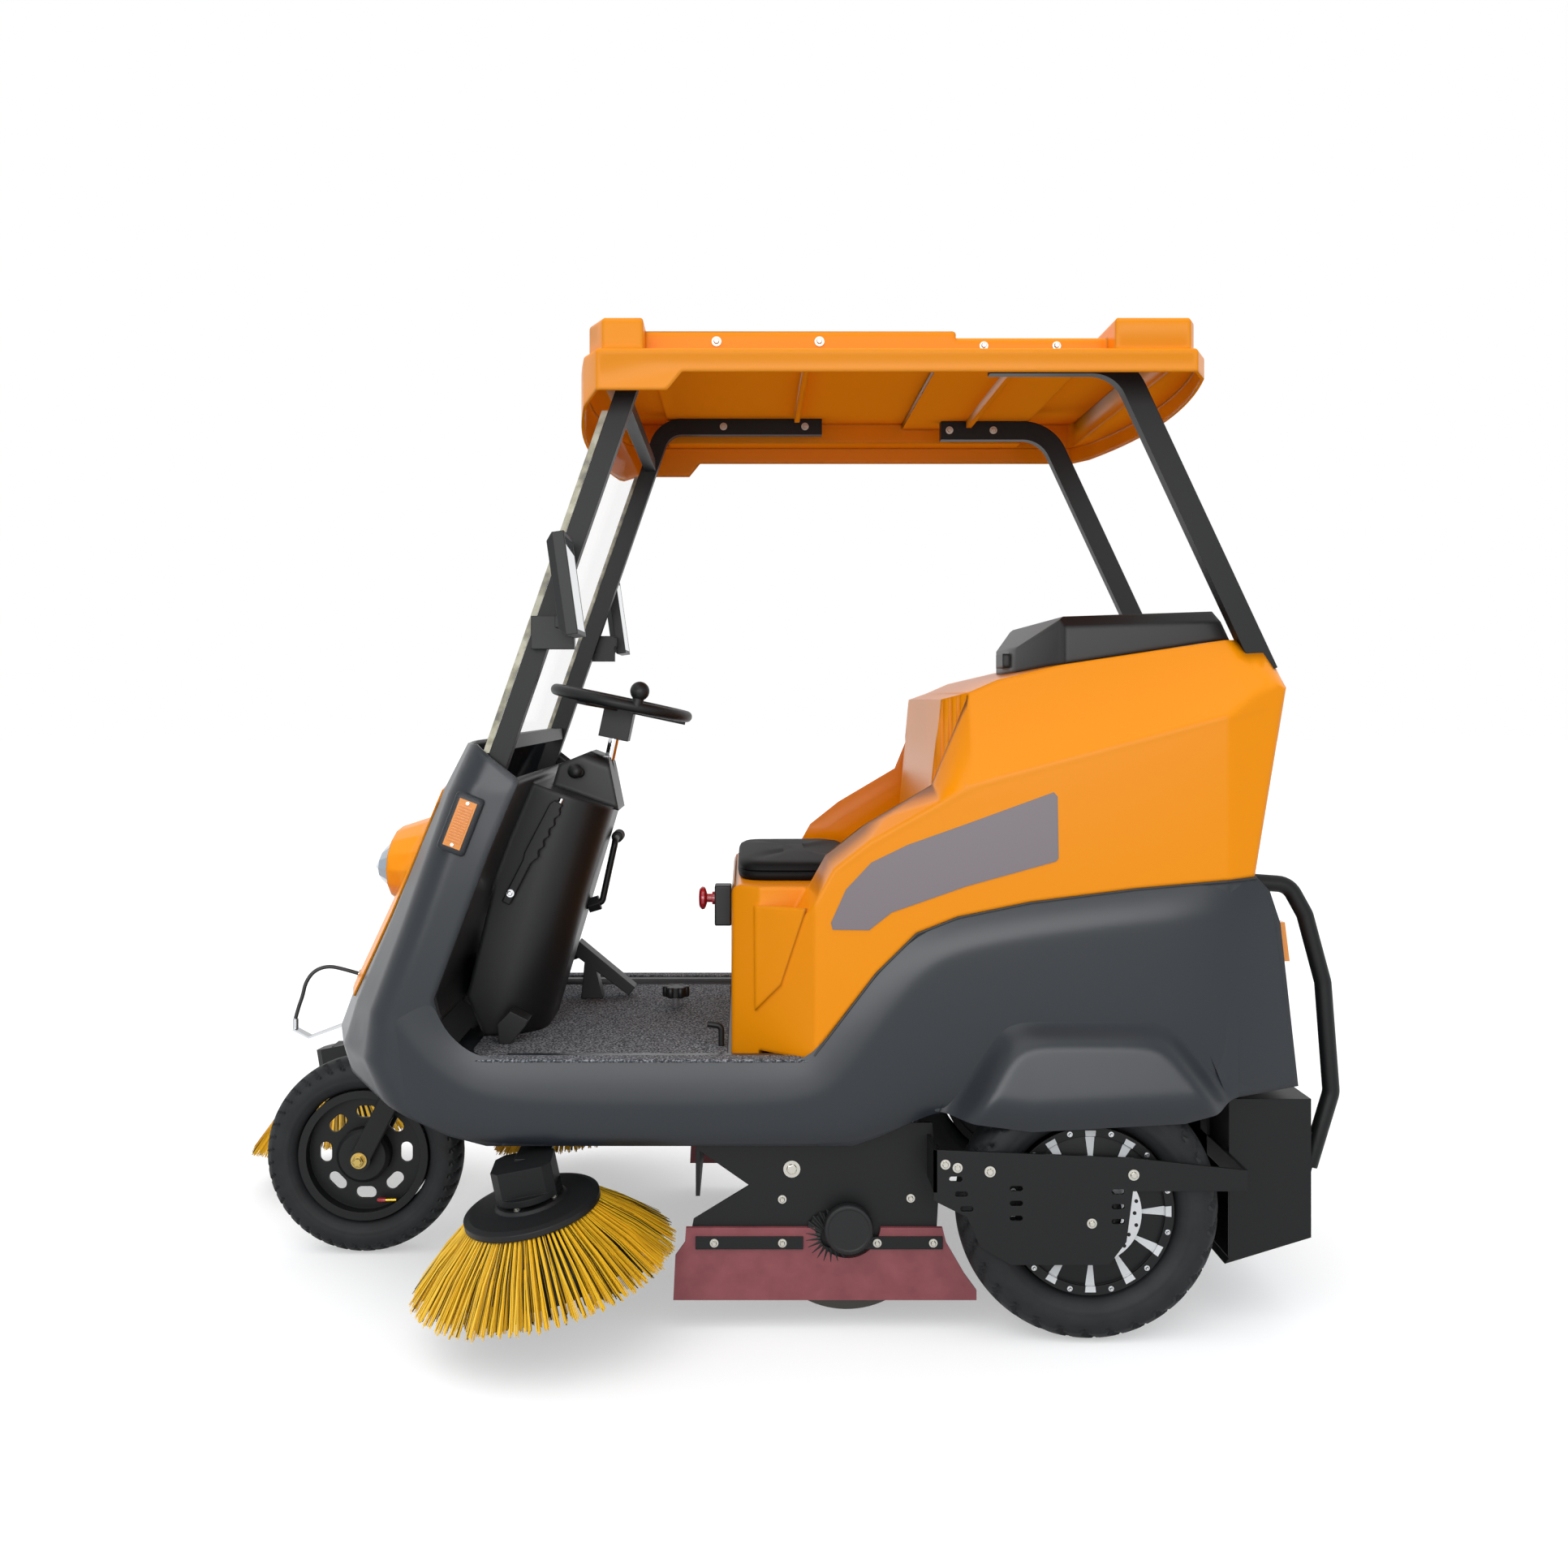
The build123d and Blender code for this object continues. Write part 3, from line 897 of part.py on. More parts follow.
# Hopper behind the rear axle, open to the front where the sweepings come in
HOPPER_HALF_WIDTH = TAIL_HALF_WIDTH - 5
HOPPER_WALL = 5
HOPPER_REAR_X = -1101
HOPPER_FRONT_X = RAIL_REAR_X
HOPPER_TOP_Z = 428
HOPPER_BOTTOM_Z = (165, 115)
HOPPER_LIP = 8
hopper_outline = [
    (HOPPER_REAR_X, HOPPER_TOP_Z), (HOPPER_REAR_X, HOPPER_BOTTOM_Z[0]),
    (HOPPER_FRONT_X + HOPPER_LIP, HOPPER_BOTTOM_Z[1]),
    (HOPPER_FRONT_X, HOPPER_BOTTOM_Z[1] + 2 * HOPPER_WALL), (HOPPER_FRONT_X, HOPPER_TOP_Z)]
hopper_inside = [
    (HOPPER_REAR_X + HOPPER_WALL, HOPPER_TOP_Z - HOPPER_WALL),
    (HOPPER_REAR_X + HOPPER_WALL, HOPPER_BOTTOM_Z[0] + HOPPER_WALL),
    (HOPPER_FRONT_X + HOPPER_LIP, HOPPER_BOTTOM_Z[1] + 2 * HOPPER_WALL),
    (HOPPER_FRONT_X + HOPPER_LIP, HOPPER_TOP_Z - HOPPER_WALL)]
hopper_inside_half = HOPPER_HALF_WIDTH - HOPPER_WALL
hopper = side_prism(hopper_outline, -HOPPER_HALF_WIDTH, HOPPER_HALF_WIDTH)
hopper -= side_prism(hopper_inside, -hopper_inside_half, hopper_inside_half)
save("hopper", hopper)

# Rear guard bars: bent tubes from the tail down to gussets on the hopper
GUARD_BAR = 32
GUARD_BAR_Y = TAIL_HALF_WIDTH - 60
GUARD_BAR_BEND = 38
GUARD_BAR_PATH = [(-980, 835), (-1078, 828), (-1110, 770), (-1145, 639), (-1161, 427), (-1118, 285)]
GUSSET_HALF_THICKNESS = 6
GUSSET_OUTLINE = [(HOPPER_REAR_X, 350), (-1140, 350), (-1118, 265), (HOPPER_REAR_X, 225)]
bar = bent_rod([(x, GUARD_BAR_Y, z) for x, z in GUARD_BAR_PATH], GUARD_BAR_BEND, GUARD_BAR)
bar -= side_prism(body_outline, -BODY_HALF_WIDTH, BODY_HALF_WIDTH)
bar += side_prism(GUSSET_OUTLINE, GUARD_BAR_Y - GUSSET_HALF_THICKNESS, GUARD_BAR_Y + GUSSET_HALF_THICKNESS)
save("guard_bars", mirrored(bar))

# Amber lamps: indicators on the cowl's flanks, tail lamps on the body's rear corners
INDICATOR = (34, 10, 92)
INDICATOR_PLACE = (503, 954)
INDICATOR_LEAN = 21
TAIL_LAMP_DEPTH = 14
TAIL_LAMP_Y = (TAIL_HALF_WIDTH - 60, TAIL_HALF_WIDTH)
TAIL_LAMP_Z = (690, 764)
lamp_y = cowl_at(INDICATOR_PLACE[1] - INDICATOR[2] / 2)[1]
indicator = Pos(INDICATOR_PLACE[0], lamp_y + SEAT_GAP + INDICATOR[1] / 2, INDICATOR_PLACE[1]) * (
    Rot(0, -INDICATOR_LEAN, 0) * Box(*INDICATOR))
lamps = list(mirrored(indicator).solids())
tail_slope = (TAIL_EDGE[2][0] - TAIL_EDGE[1][0]) / (TAIL_EDGE[2][1] - TAIL_EDGE[1][1])
tail_front = [(TAIL_EDGE[1][0] + (z - TAIL_EDGE[1][1]) * tail_slope - SEAT_GAP, z) for z in TAIL_LAMP_Z]
tail_lamp = side_prism(tail_front + [(x - TAIL_LAMP_DEPTH, z) for x, z in reversed(tail_front)], *TAIL_LAMP_Y)
lamps += list(mirrored(tail_lamp).solids())
save("amber_lamps", Compound(children=lamps))

# Emergency stop on the seat box's front
STOP_Y = SEAT_BOX_HALF_WIDTH - 85
STOP_Z = 787
STOP_BASE = (34, 46, 80)
STOP_BASE_TOP_Z = SEAT_Z - 12
STOP_RADIUS = 19
STOP_STEM_RADIUS = 10
STOP_STEM = 12
STOP_DEPTH = 14
stop_face = SEAT_FRONT_X + STOP_BASE[0]
stop = block(SEAT_FRONT_X, stop_face, STOP_Y - STOP_BASE[1] / 2, STOP_Y + STOP_BASE[1] / 2,
             STOP_BASE_TOP_Z - STOP_BASE[2], STOP_BASE_TOP_Z)
stop_axis = Pos(stop_face, STOP_Y, STOP_Z) * Rot(0, 90, 0)
stop += stop_axis * Cylinder(STOP_STEM_RADIUS, STOP_STEM, align=STANDING)
stop += stop_axis * Pos(0, 0, STOP_STEM) * Cylinder(STOP_RADIUS, STOP_DEPTH, align=STANDING)
save("stop_button", stop)

# Hand levers: handbrake on the console's left, brush lift crank behind it
LEVER_THICKNESS = 26
HANDBRAKE_OUTLINE = [
    (446, 770), (468, 790), (454, 840), (390, 948), (358, 982), (341, 966), (372, 930), (428, 812)]
handbrake = side_prism(HANDBRAKE_OUTLINE, CONSOLE_HALF_WIDTH, CONSOLE_HALF_WIDTH + LEVER_THICKNESS)
CRANK_ROD = 14
CRANK_BEND = 10
CRANK_PATH = [(330, 0, 736), (282, 0, 750), (255, 0, 874), (255, -70, 884)]
GRIP_PLACE = (255, -85, 884)
GRIP_RADIUS = 13
GRIP_LENGTH = 60
crank = bent_rod(CRANK_PATH, CRANK_BEND, CRANK_ROD) - console
crank += Pos(*GRIP_PLACE) * Cylinder(GRIP_RADIUS, GRIP_LENGTH, rotation=(90, 0, 0))
save("hand_levers", Compound(children=[handbrake, crank]))

# Foot controls: accelerator, brake pedal, floor knob and a small floor lever, all standing on the mat
ACCELERATOR_Y = (-240, -190)
PAD_SIDE = [(372, 606), (354, 632), (226, 526), (240, 508)]
STAND_SIDE = [(300, MAT_Z), (350, MAT_Z), (342, 585), (318, 575)]
LINK_PATH = [(348, -215, 600), (426, -215, 572), (426, -215, MAT_Z)]
LINK_BEND = 20
LINK_ROD = 14
BRAKE_Y = (200, 250)
BRAKE_OUTLINE = [(440, MAT_Z), (462, MAT_Z), (466, 540), (440, 566), (404, 548), (410, 536)]
KNOB_PLACE = (127, -90)
FLOOR_STEM_RADIUS = 8
FLOOR_STEM = 26
FLOOR_KNOB_RADIUS = 24
FLOOR_KNOB_HEIGHT = 22
LEVER_Y = MAT_HALF_WIDTH - 94
LEVER_PATH = [(20, LEVER_Y, MAT_Z), (20, LEVER_Y, 540), (48, LEVER_Y, 544)]
LEVER_BEND = 10
LEVER_ROD = 12
accelerator = side_prism(PAD_SIDE, *ACCELERATOR_Y) + side_prism(STAND_SIDE, *ACCELERATOR_Y)
accelerator += bent_rod(LINK_PATH, LINK_BEND, LINK_ROD)
brake = side_prism(BRAKE_OUTLINE, *BRAKE_Y)
knob_foot = Pos(*KNOB_PLACE, MAT_Z)
floor_knob = knob_foot * Cylinder(FLOOR_STEM_RADIUS, FLOOR_STEM, align=STANDING)
floor_knob += knob_foot * Pos(0, 0, FLOOR_STEM) * Cylinder(
    FLOOR_KNOB_RADIUS, FLOOR_KNOB_HEIGHT, align=STANDING)
floor_lever = bent_rod(LEVER_PATH, LEVER_BEND, LEVER_ROD)
save("foot_controls", Compound(children=[accelerator, brake, floor_knob, floor_lever]))

# Roller brush between the wheels, with its shaft caps in the housing
ROLLER_SHAFT_RADIUS = 18
roller = turned([(ROLLER_SHAFT_RADIUS, -ROLLER_HALF_LENGTH), (ROLLER_RADIUS, -ROLLER_HALF_LENGTH),
                 (ROLLER_RADIUS, ROLLER_HALF_LENGTH), (ROLLER_SHAFT_RADIUS, ROLLER_HALF_LENGTH)])
SHAFT_STICKOUT = 18
CAP_RADIUS = 45
CAP_THICKNESS = 16
shaft_half = HOUSING_Y + HOUSING_THICKNESS + SHAFT_STICKOUT
roller += Cylinder(ROLLER_SHAFT_RADIUS, 2 * shaft_half, rotation=(90, 0, 0))
for sign in (1, -1):
    end_cap = Cylinder(CAP_RADIUS, CAP_THICKNESS, rotation=(90, 0, 0))
    roller += Pos(0, sign * (shaft_half + CAP_THICKNESS / 2), 0) * end_cap
save("roller_brush", Pos(ROLLER_X, 0, ROLLER_Z) * roller)

# Roller housing: a side plate at each end hung from the rails, and the strips that hold the skirts
HOUSING_OUTLINE = [
    (66, 388), (66, 340), (-35, 270), (70, 206), (76, 175), (50, 130), (-385, 130), (-392, 260), (-380, 388)]
HANGER_X = (-260, -160)
FLAP_X = (58, 66)
FLAP_Z = (250, 388)
STRIP_THICKNESS = 4
STRIP_Z = (154, 177)
STRIPS_X = [(66, -136), (-240, -398)]
SKIRT_OUTLINE = [
    (108, SKIRT_Z), (104, 140), (86, 165), (84, 193), (-398, 193), (-405, 165), (-440, 105), (-462, 75),
    (-462, SKIRT_Z)]
SKIRT_NOTCH_RADIUS = 62
skirt_y = HOUSING_Y + HOUSING_THICKNESS
housing_side = side_prism(HOUSING_OUTLINE, HOUSING_Y, skirt_y)
housing_side -= Pos(ROLLER_X, HOUSING_Y, ROLLER_Z) * Cylinder(
    ROLLER_SHAFT_RADIUS + PIN_GAP, 4 * HOUSING_THICKNESS, rotation=(90, 0, 0))
roller_top = ROLLER_Z + ROLLER_RADIUS
housing_side += block(*HANGER_X, rail_inside, HOUSING_Y, roller_top + 2 * RUNNING_GAP, RAIL_BOTTOM_Z)
housing = housing_side + mirror(housing_side, about=Plane.XZ)
housing += block(*FLAP_X, -skirt_y, skirt_y, *FLAP_Z)
save("roller_housing", housing)

# Rubber skirts: one sheet each side, notched round the roller's shaft, with its strips
skirt = side_prism(SKIRT_OUTLINE, skirt_y, skirt_y + SKIRT_THICKNESS)
skirt_notch = Cylinder(SKIRT_NOTCH_RADIUS, 6 * SKIRT_THICKNESS, rotation=(90, 0, 0))
skirt -= Pos(ROLLER_X, skirt_y, ROLLER_Z) * skirt_notch
save("rubber_skirts", mirrored(skirt))
strip_y = skirt_y + SKIRT_THICKNESS
strips = []
for x_front, x_rear in STRIPS_X:
    strip = block(x_front, x_rear, strip_y, strip_y + STRIP_THICKNESS, *STRIP_Z)
    strips += list(mirrored(strip).solids())
save("skirt_strips", Compound(children=strips))

# Disc brushes: a plate and a flared ring of bristles on a tilted spindle
# Columns: name, x, y, side of the machine
BRUSH_Y = BODY_HALF_WIDTH + 20
BRUSHES = [("left", 370, BRUSH_Y, 1), ("right", 370, -BRUSH_Y, -1), ("front", 957.75, -BRUSH_Y, -1)]
BRISTLE_ROOT = (92, 122)
BRISTLE_TIP = (205, BRUSH_RADIUS)
bristle_top = -BRUSH_PLATE_THICKNESS - SEAT_GAP
BRISTLE_PROFILE = [
    (BRISTLE_ROOT[0], bristle_top), (BRISTLE_ROOT[1], bristle_top), (BRISTLE_TIP[1], -BRUSH_DEPTH),
    (BRISTLE_TIP[0], -BRUSH_DEPTH)]
PLATE_PROFILE = [
    (0, 0), (62, 0), (68, -5), (115, -9), (BRUSH_PLATE_RADIUS, -13),
    (BRUSH_PLATE_RADIUS, -BRUSH_PLATE_THICKNESS), (0, -BRUSH_PLATE_THICKNESS)]
MOTOR_SIZE = (112, 92, 62)
FLANGE_RADIUS = 62
FLANGE_THICKNESS = 12
SPINDLE_RADIUS = 14
SPINDLE_GAP = 8
ARM_WIDTH = 60
ARM_THICKNESS = 10
ARM_Z = BRUSH_Z + 60
FRONT_ARM_X = RAIL_FRONT_X - 2 * MEMBER_HALF_WIDTH

tilt_forward = math.tan(math.radians(BRUSH_FORWARD_TILT))
tilt_outward = math.tan(math.radians(BRUSH_OUTWARD_TILT))
arms = []
for name, x, y, sign in BRUSHES:
    spindle = Plane((x, y, BRUSH_Z), x_dir=(1, 0, -tilt_forward),
                    z_dir=(tilt_forward, sign * tilt_outward, 1))
    plate = revolve(make_face(Plane.XZ * Polyline(*PLATE_PROFILE, close=True)), axis=Axis.Z)
    save(f"{name}_brush_plate", spindle * plate)
    bristles = revolve(make_face(Plane.XZ * Polyline(*BRISTLE_PROFILE, close=True)), axis=Axis.Z)
    save(f"{name}_brush_bristles", spindle * bristles)
    motor = Pos(0, 0, SPINDLE_GAP) * Box(*MOTOR_SIZE, align=STANDING)
    motor = chamfer(motor.edges().filter_by(Axis.Z), MOTOR_SIZE[1] / 6)
    motor += Pos(0, 0, SPINDLE_GAP) * Cylinder(FLANGE_RADIUS, FLANGE_THICKNESS, align=STANDING)
    motor += Pos(0, 0, SEAT_GAP) * Cylinder(SPINDLE_RADIUS, 2 * SPINDLE_GAP, align=STANDING)
    arm = spindle * motor
    arm_top = ARM_Z + ARM_THICKNESS
    if name == "front":
        y_from = y - ARM_WIDTH / 2
        arm += block(FRONT_ARM_X, x + ARM_WIDTH / 2, y_from, y + ARM_WIDTH / 2, ARM_Z, arm_top)
        arm += block(FRONT_ARM_X, FRONT_ARM_X + ARM_WIDTH, y_from, -rail_inside, ARM_Z, arm_top)
        arm += block(FRONT_ARM_X, FRONT_ARM_X + ARM_WIDTH / 2, -rail_outside, -rail_inside,
                     ARM_Z, RAIL_BOTTOM_Z)
    else:
        arm += block(x - ARM_WIDTH / 2, x + ARM_WIDTH / 2, sign * rail_inside, y, ARM_Z, arm_top)
        arm += block(x - ARM_WIDTH / 2, x + ARM_WIDTH / 2, sign * rail_inside, sign * rail_outside,
                     ARM_Z, RAIL_BOTTOM_Z)
    arms.append(arm)
save("brush_arms", Compound(children=arms))

# Spray nozzle: bent plate from the cowl's nose with a rod that holds the nozzle and its hose
NOZZLE_Y = 60
NOZZLE_Z = 506
nozzle_root = cowl_at(NOZZLE_Z)[0] + SEAT_GAP
NOZZLE_PLATE_THICKNESS = 6
NOZZLE_PLATE = [
    (nozzle_root, NOZZLE_Z), (nozzle_root, NOZZLE_Z - NOZZLE_PLATE_THICKNESS), (895, 470), (930, 488),
    (927, 491), (895, 474)]
NOZZLE_HALF_WIDTH = 12
NOZZLE_RADIUS = 6
NOZZLE_LENGTH = 24
NOZZLE_PLACE = (926, NOZZLE_Y, 486)
nozzle = side_prism(NOZZLE_PLATE, NOZZLE_Y - NOZZLE_HALF_WIDTH, NOZZLE_Y + NOZZLE_HALF_WIDTH)
nozzle += Pos(*NOZZLE_PLACE) * Cylinder(NOZZLE_RADIUS, NOZZLE_LENGTH, align=STANDING)
HOSE_DIAMETER = 8
HOSE_POINTS = [(798, 40, 602), (830, 45, 613), (861, 50, 620), (888, 56, 611), (905, 60, 587), (911, 60, 558),
               (920, 60, 534), (926, 60, 511)]
BEND_SHARE = 0.45
hose_radii = []
for before, here, after in zip(HOSE_POINTS, HOSE_POINTS[1:], HOSE_POINTS[2:]):
    run_in = Vector(*here) - Vector(*before)
    run_out = Vector(*after) - Vector(*here)
    half_turn = math.radians(run_in.get_angle(run_out) / 2)
    hose_radii.append(BEND_SHARE * min(run_in.length, run_out.length) / math.tan(half_turn))
print("hose radii", [round(r) for r in hose_radii])
hose_path = FilletPolyline(*HOSE_POINTS, radius=hose_radii)
hose = sweep(Plane(hose_path @ 0, z_dir=hose_path % 0) * Circle(HOSE_DIAMETER / 2), path=hose_path)
hose_area = math.pi * HOSE_DIAMETER ** 2 / 4
print("hose volume", round(hose.volume), "section times length", round(hose_area * hose_path.length))
print("hose length", round(hose_path.length))
save("spray_hose", hose)
GLAND_RADIUS = 9
gland = Plane(HOSE_POINTS[0], z_dir=Vector(*HOSE_POINTS[0]) - Vector(*HOSE_POINTS[1])) * Cylinder(
    GLAND_RADIUS, 3 * GLAND_RADIUS, align=STANDING)
gland = (gland - panel_back - front_panel).solids().sort_by(Axis.X)[-1]
save("spray_nozzle", Compound(children=[nozzle, gland]))
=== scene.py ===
import math
import random

import bmesh
import bpy
from mathutils import Matrix, Vector


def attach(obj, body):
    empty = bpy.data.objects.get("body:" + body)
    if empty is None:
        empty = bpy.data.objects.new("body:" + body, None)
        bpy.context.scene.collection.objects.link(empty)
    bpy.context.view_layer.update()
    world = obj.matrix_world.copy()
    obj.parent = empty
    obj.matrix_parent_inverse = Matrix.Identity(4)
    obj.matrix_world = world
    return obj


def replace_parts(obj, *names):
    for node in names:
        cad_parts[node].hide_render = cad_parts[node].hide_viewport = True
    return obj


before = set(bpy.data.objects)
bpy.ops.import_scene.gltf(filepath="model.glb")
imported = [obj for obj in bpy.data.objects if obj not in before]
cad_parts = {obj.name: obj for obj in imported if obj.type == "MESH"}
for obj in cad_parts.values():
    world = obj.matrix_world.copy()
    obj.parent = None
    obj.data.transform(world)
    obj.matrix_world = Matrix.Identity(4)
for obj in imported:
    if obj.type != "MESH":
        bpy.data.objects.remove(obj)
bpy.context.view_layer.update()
SEED = 7
rng = random.Random(SEED)
# Metres in a millimetre; lengths in tables are in mm
MM = 0.001
# Columns: name of a side, its sign along Y
SIDES = (("left", 1), ("right", -1))

# Helpers for materials


def colour(text):
    """Linear RGBA of an sRGB hex colour."""
    parts = [int(text[i:i + 2], 16) / 255 for i in (1, 3, 5)]
    return [c / 12.92 if c <= 0.04045 else ((c + 0.055) / 1.055) ** 2.4 for c in parts] + [1.0]


def add(tree, kind, values=None, links=None, stops=(), **properties):
    """Adds a shader node with its properties, input values, links to other nodes' outputs and colour stops."""
    made = tree.nodes.new(kind)
    for name, value in properties.items():
        setattr(made, name, value)
    for name, value in (values or {}).items():
        made.inputs[name].default_value = value
    for name, (source, output) in (links or {}).items():
        tree.links.new(source.outputs[output], made.inputs[name])
    for i, (position, text) in enumerate(stops):
        elements = made.color_ramp.elements
        stop = elements[i] if i < len(elements) else elements.new(position)
        stop.position = position
        stop.color = colour(text)
    return made


def material(name, base, rough, **inputs):
    """Material with one principled shader: its colour, roughness and any other inputs."""
    made = bpy.data.materials.new(name)
    made.use_nodes = True
    shader = made.node_tree.nodes["Principled BSDF"]
    shader.inputs["Base Color"].default_value = colour(base)
    shader.inputs["Roughness"].default_value = rough
    for key, value in inputs.items():
        shader.inputs[key.replace("_", " ")].default_value = value
    return made


GRAIN_DETAIL = 2.0
EDGE_SAMPLES = 6


def grained(made, size_mm, height_mm, edge_mm=0):
    """Gives a material a raised grain, and edges that catch the light as if they were rounded."""
    tree = made.node_tree
    coords = add(tree, "ShaderNodeTexCoord")
    grain = add(tree, "ShaderNodeTexNoise", {"Scale": 1 / MM / size_mm, "Detail": GRAIN_DETAIL},
                {"Vector": (coords, "Object")})
    bump = add(tree, "ShaderNodeBump", {"Strength": 1.0, "Distance": height_mm * MM}, {"Height": (grain, "Fac")})
    if edge_mm:
        edge = add(tree, "ShaderNodeBevel", {"Radius": edge_mm * MM}, samples=EDGE_SAMPLES)
        tree.links.new(edge.outputs["Normal"], bump.inputs["Normal"])
    tree.links.new(bump.outputs["Normal"], tree.nodes["Principled BSDF"].inputs["Normal"])
    return made


def mottled(made, size_mm, stops, detail=3.0):
    """Gives a material a colour that wanders between stops of position and hex colour."""
    tree = made.node_tree
    coords = add(tree, "ShaderNodeTexCoord")
    pattern = add(tree, "ShaderNodeTexNoise", {"Scale": 1 / MM / size_mm, "Detail": detail},
                  {"Vector": (coords, "Object")})
    ramp = add(tree, "ShaderNodeValToRGB", links={"Fac": (pattern, "Fac")}, stops=stops)
    tree.links.new(ramp.outputs["Color"], tree.nodes["Principled BSDF"].inputs["Base Color"])
    return made


# Materials, named for what they are made of and how; where a pattern sets the colour, the one written first is its mean
# Sprayed gel coat: deep orange yellow, a clear gloss and the faint waviness of a hand-laid moulding
yellow = grained(material("grp_gelcoat_yellow", "#F29204", 0.3, Specular_IOR_Level=0.15), 170, 0.5, 11)
# The inside of the same moulding, as laid: orange, rough from the fibre mat, without shine
laid_inside = grained(material("grp_hand_laid_inside", "#FF9414", 0.65, Specular_IOR_Level=0.0), 14, 0.25, 12)
# The same gel coat in slate grey: a window's sheen spreads softly over the faces that lean back
slate = grained(material("grp_gelcoat_slate", "#292D32", 0.3, Specular_IOR_Level=0.3), 160, 0.5, 18)
# Powder-coated steel: black, with an orange-peel skin that breaks its highlights
black_steel = grained(material("steel_powder_coated", "#141516", 0.45, Specular_IOR_Level=0.2), 2.5, 0.03, 1.5)
# Injection-moulded plastic: black, kept matt by a spark-eroded grain, which is drawn coarser than real
black_plastic = grained(material("abs_moulded_grained", "#191A1B", 0.45, Specular_IOR_Level=0.25), 1.2, 0.04, 3)
# The same plastic vacuum-formed: black with a little more shine and soft edges; its grain is drawn coarser than real
soft_plastic = grained(material("abs_vacuum_formed", "#161718", 0.4, Specular_IOR_Level=0.3), 1.5, 0.03, 12)
# Vulcanised tyre rubber: charcoal and dull, with road dust in patches
tyre_rubber = mottled(material("rubber_vulcanised_tyre", "#1C1D1F", 0.62, Specular_IOR_Level=0.25), 60,
                      [(0.35, "#17181A"), (0.7, "#222426")])
# Cut rubber sheet: dull brick red, paler where dust lies on it
red_rubber = mottled(material("rubber_sheet_red", "#7E3A3F", 0.6), 45, [(0.3, "#78323A"), (0.7, "#8A4348")])
# Drawn polypropylene bristle: warm yellow with a waxy shine
bristle_yellow = material("polypropylene_bristle_yellow", "#EEC02A", 0.4)
# Drawn polypropylene bristle: brownish black; besides the real black bristles it is painted shade, in the gaps between
# the yellow tufts and on the core inside them
bristle_black_and_shade = material("polypropylene_bristle_black_and_shade", "#26241A", 0.5)
# Needled felt: grey, flecked light and dark, without shine; the flecks are drawn coarser than its fibres
felt = mottled(material("polyester_felt_needled", "#6B6B6B", 0.95, Specular_IOR_Level=0.1), 4,
               [(0.36, "#2A2C2F"), (0.5, "#5A5D61"), (0.66, "#9A9DA2")], 4.0)
# Pressed vinyl: black, with a leather grain that breaks its soft sheen
vinyl = grained(material("vinyl_pressed_grain", "#111112", 0.6, Specular_IOR_Level=0.1), 3.0, 0.12)
# Toughened float glass: clear, seen only by its reflections
glass = material("glass_toughened_float", "#FFFFFF", 0.02, IOR=1.45, Alpha=0.06)
# Ground edge of the same glass: olive, scuffed light and dark
glass_edge = mottled(material("glass_edge_ground", "#857F62", 0.4), 30,
                     [(0.35, "#4E4B3C"), (0.5, "#8D886C"), (0.65, "#B9B59C")], 5.0)
# Moulded polycarbonate lens: bluish grey under a clear gloss
lens_clear = material("polycarbonate_lens_clear", "#8A95A1", 0.08, Coat_Weight=0.5)
# Silvered glass: a clean mirror
mirror_glass = material("glass_silvered", "#C9CDD1", 0.03, Metallic=1.0)
# Moulded acrylic lens: amber, glossy, ribbed by its geometry
amber = material("acrylic_lens_amber", "#E58A16", 0.2, Coat_Weight=0.6)
# Moulded nylon: signal red, glossy
red_plastic = material("nylon_moulded_red", "#A3141F", 0.25, Coat_Weight=0.3)
# Brushed stainless strip: pale metal that blurs what it mirrors; the brushing is drawn coarser than real
stainless = grained(material("stainless_strip_brushed", "#B9BBBD", 0.32, Metallic=1.0), 1.5, 0.02)
# Zinc-plated steel: pale fasteners, a little yellow-grey
zinc = material("steel_zinc_plated", "#B4B2AA", 0.35, Metallic=0.9)
# Yellow-passivated zinc: nuts with a straw tint
zinc_yellow = material("steel_zinc_yellow_passivated", "#B29A58", 0.35, Metallic=0.9)
# Hard-chromed steel: bright, with sharp reflections
chrome = material("steel_hard_chromed", "#D8DADC", 0.08, Metallic=1.0)
# Turned brass: warm, with soft reflections
brass = material("brass_turned", "#C79A3A", 0.3, Metallic=1.0)
# Vinyl plate: flat mauve grey with a slight sheen
plate_blank = material("vinyl_plate_blank", "#6F6569", 0.4)
# Printed ink: matt white
white_print = material("ink_printed_white", "#DADCDD", 0.5)
# Extruded rubber, for hose and gaskets: black and dull
hose_rubber = material("rubber_extruded_hose", "#19191A", 0.5)

# Helpers for pieces
# Degrees at an edge past which it stays sharp: in general, and on mouldings
SHARP_EDGE = 35
SHARP_MOULD = 32
BEVEL_STEPS = 2
ROUND_STEPS = 4
MERGE_MM = 0.02
# Degrees between faces that are flat enough to be one
ONE_FLAT = 0.4
# Z of the normal below which a face looks down
LOOKS_DOWN = -0.35
# How strongly large faces set the normals beside them
FLAT_WEIGHT = 100
TUBE_STEPS = 2
TUBE_ORDER = 3
# Hexagon bolt. Columns: share of the washer's radius, height
WASHER = [(1, 0), (1, 1.5), (0.6, 1.6)]
BOLT_HEAD = [(0.62, 1.5), (0.62, 5), (0.5, 6), (0, 6)]
HEXAGON = 6


def finish_piece(obj, made, body):
    """Gives a piece its materials and the body that it rides on."""
    for one in made if isinstance(made, tuple) else (made,):
        obj.data.materials.append(one)
    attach(obj, body)
    return obj


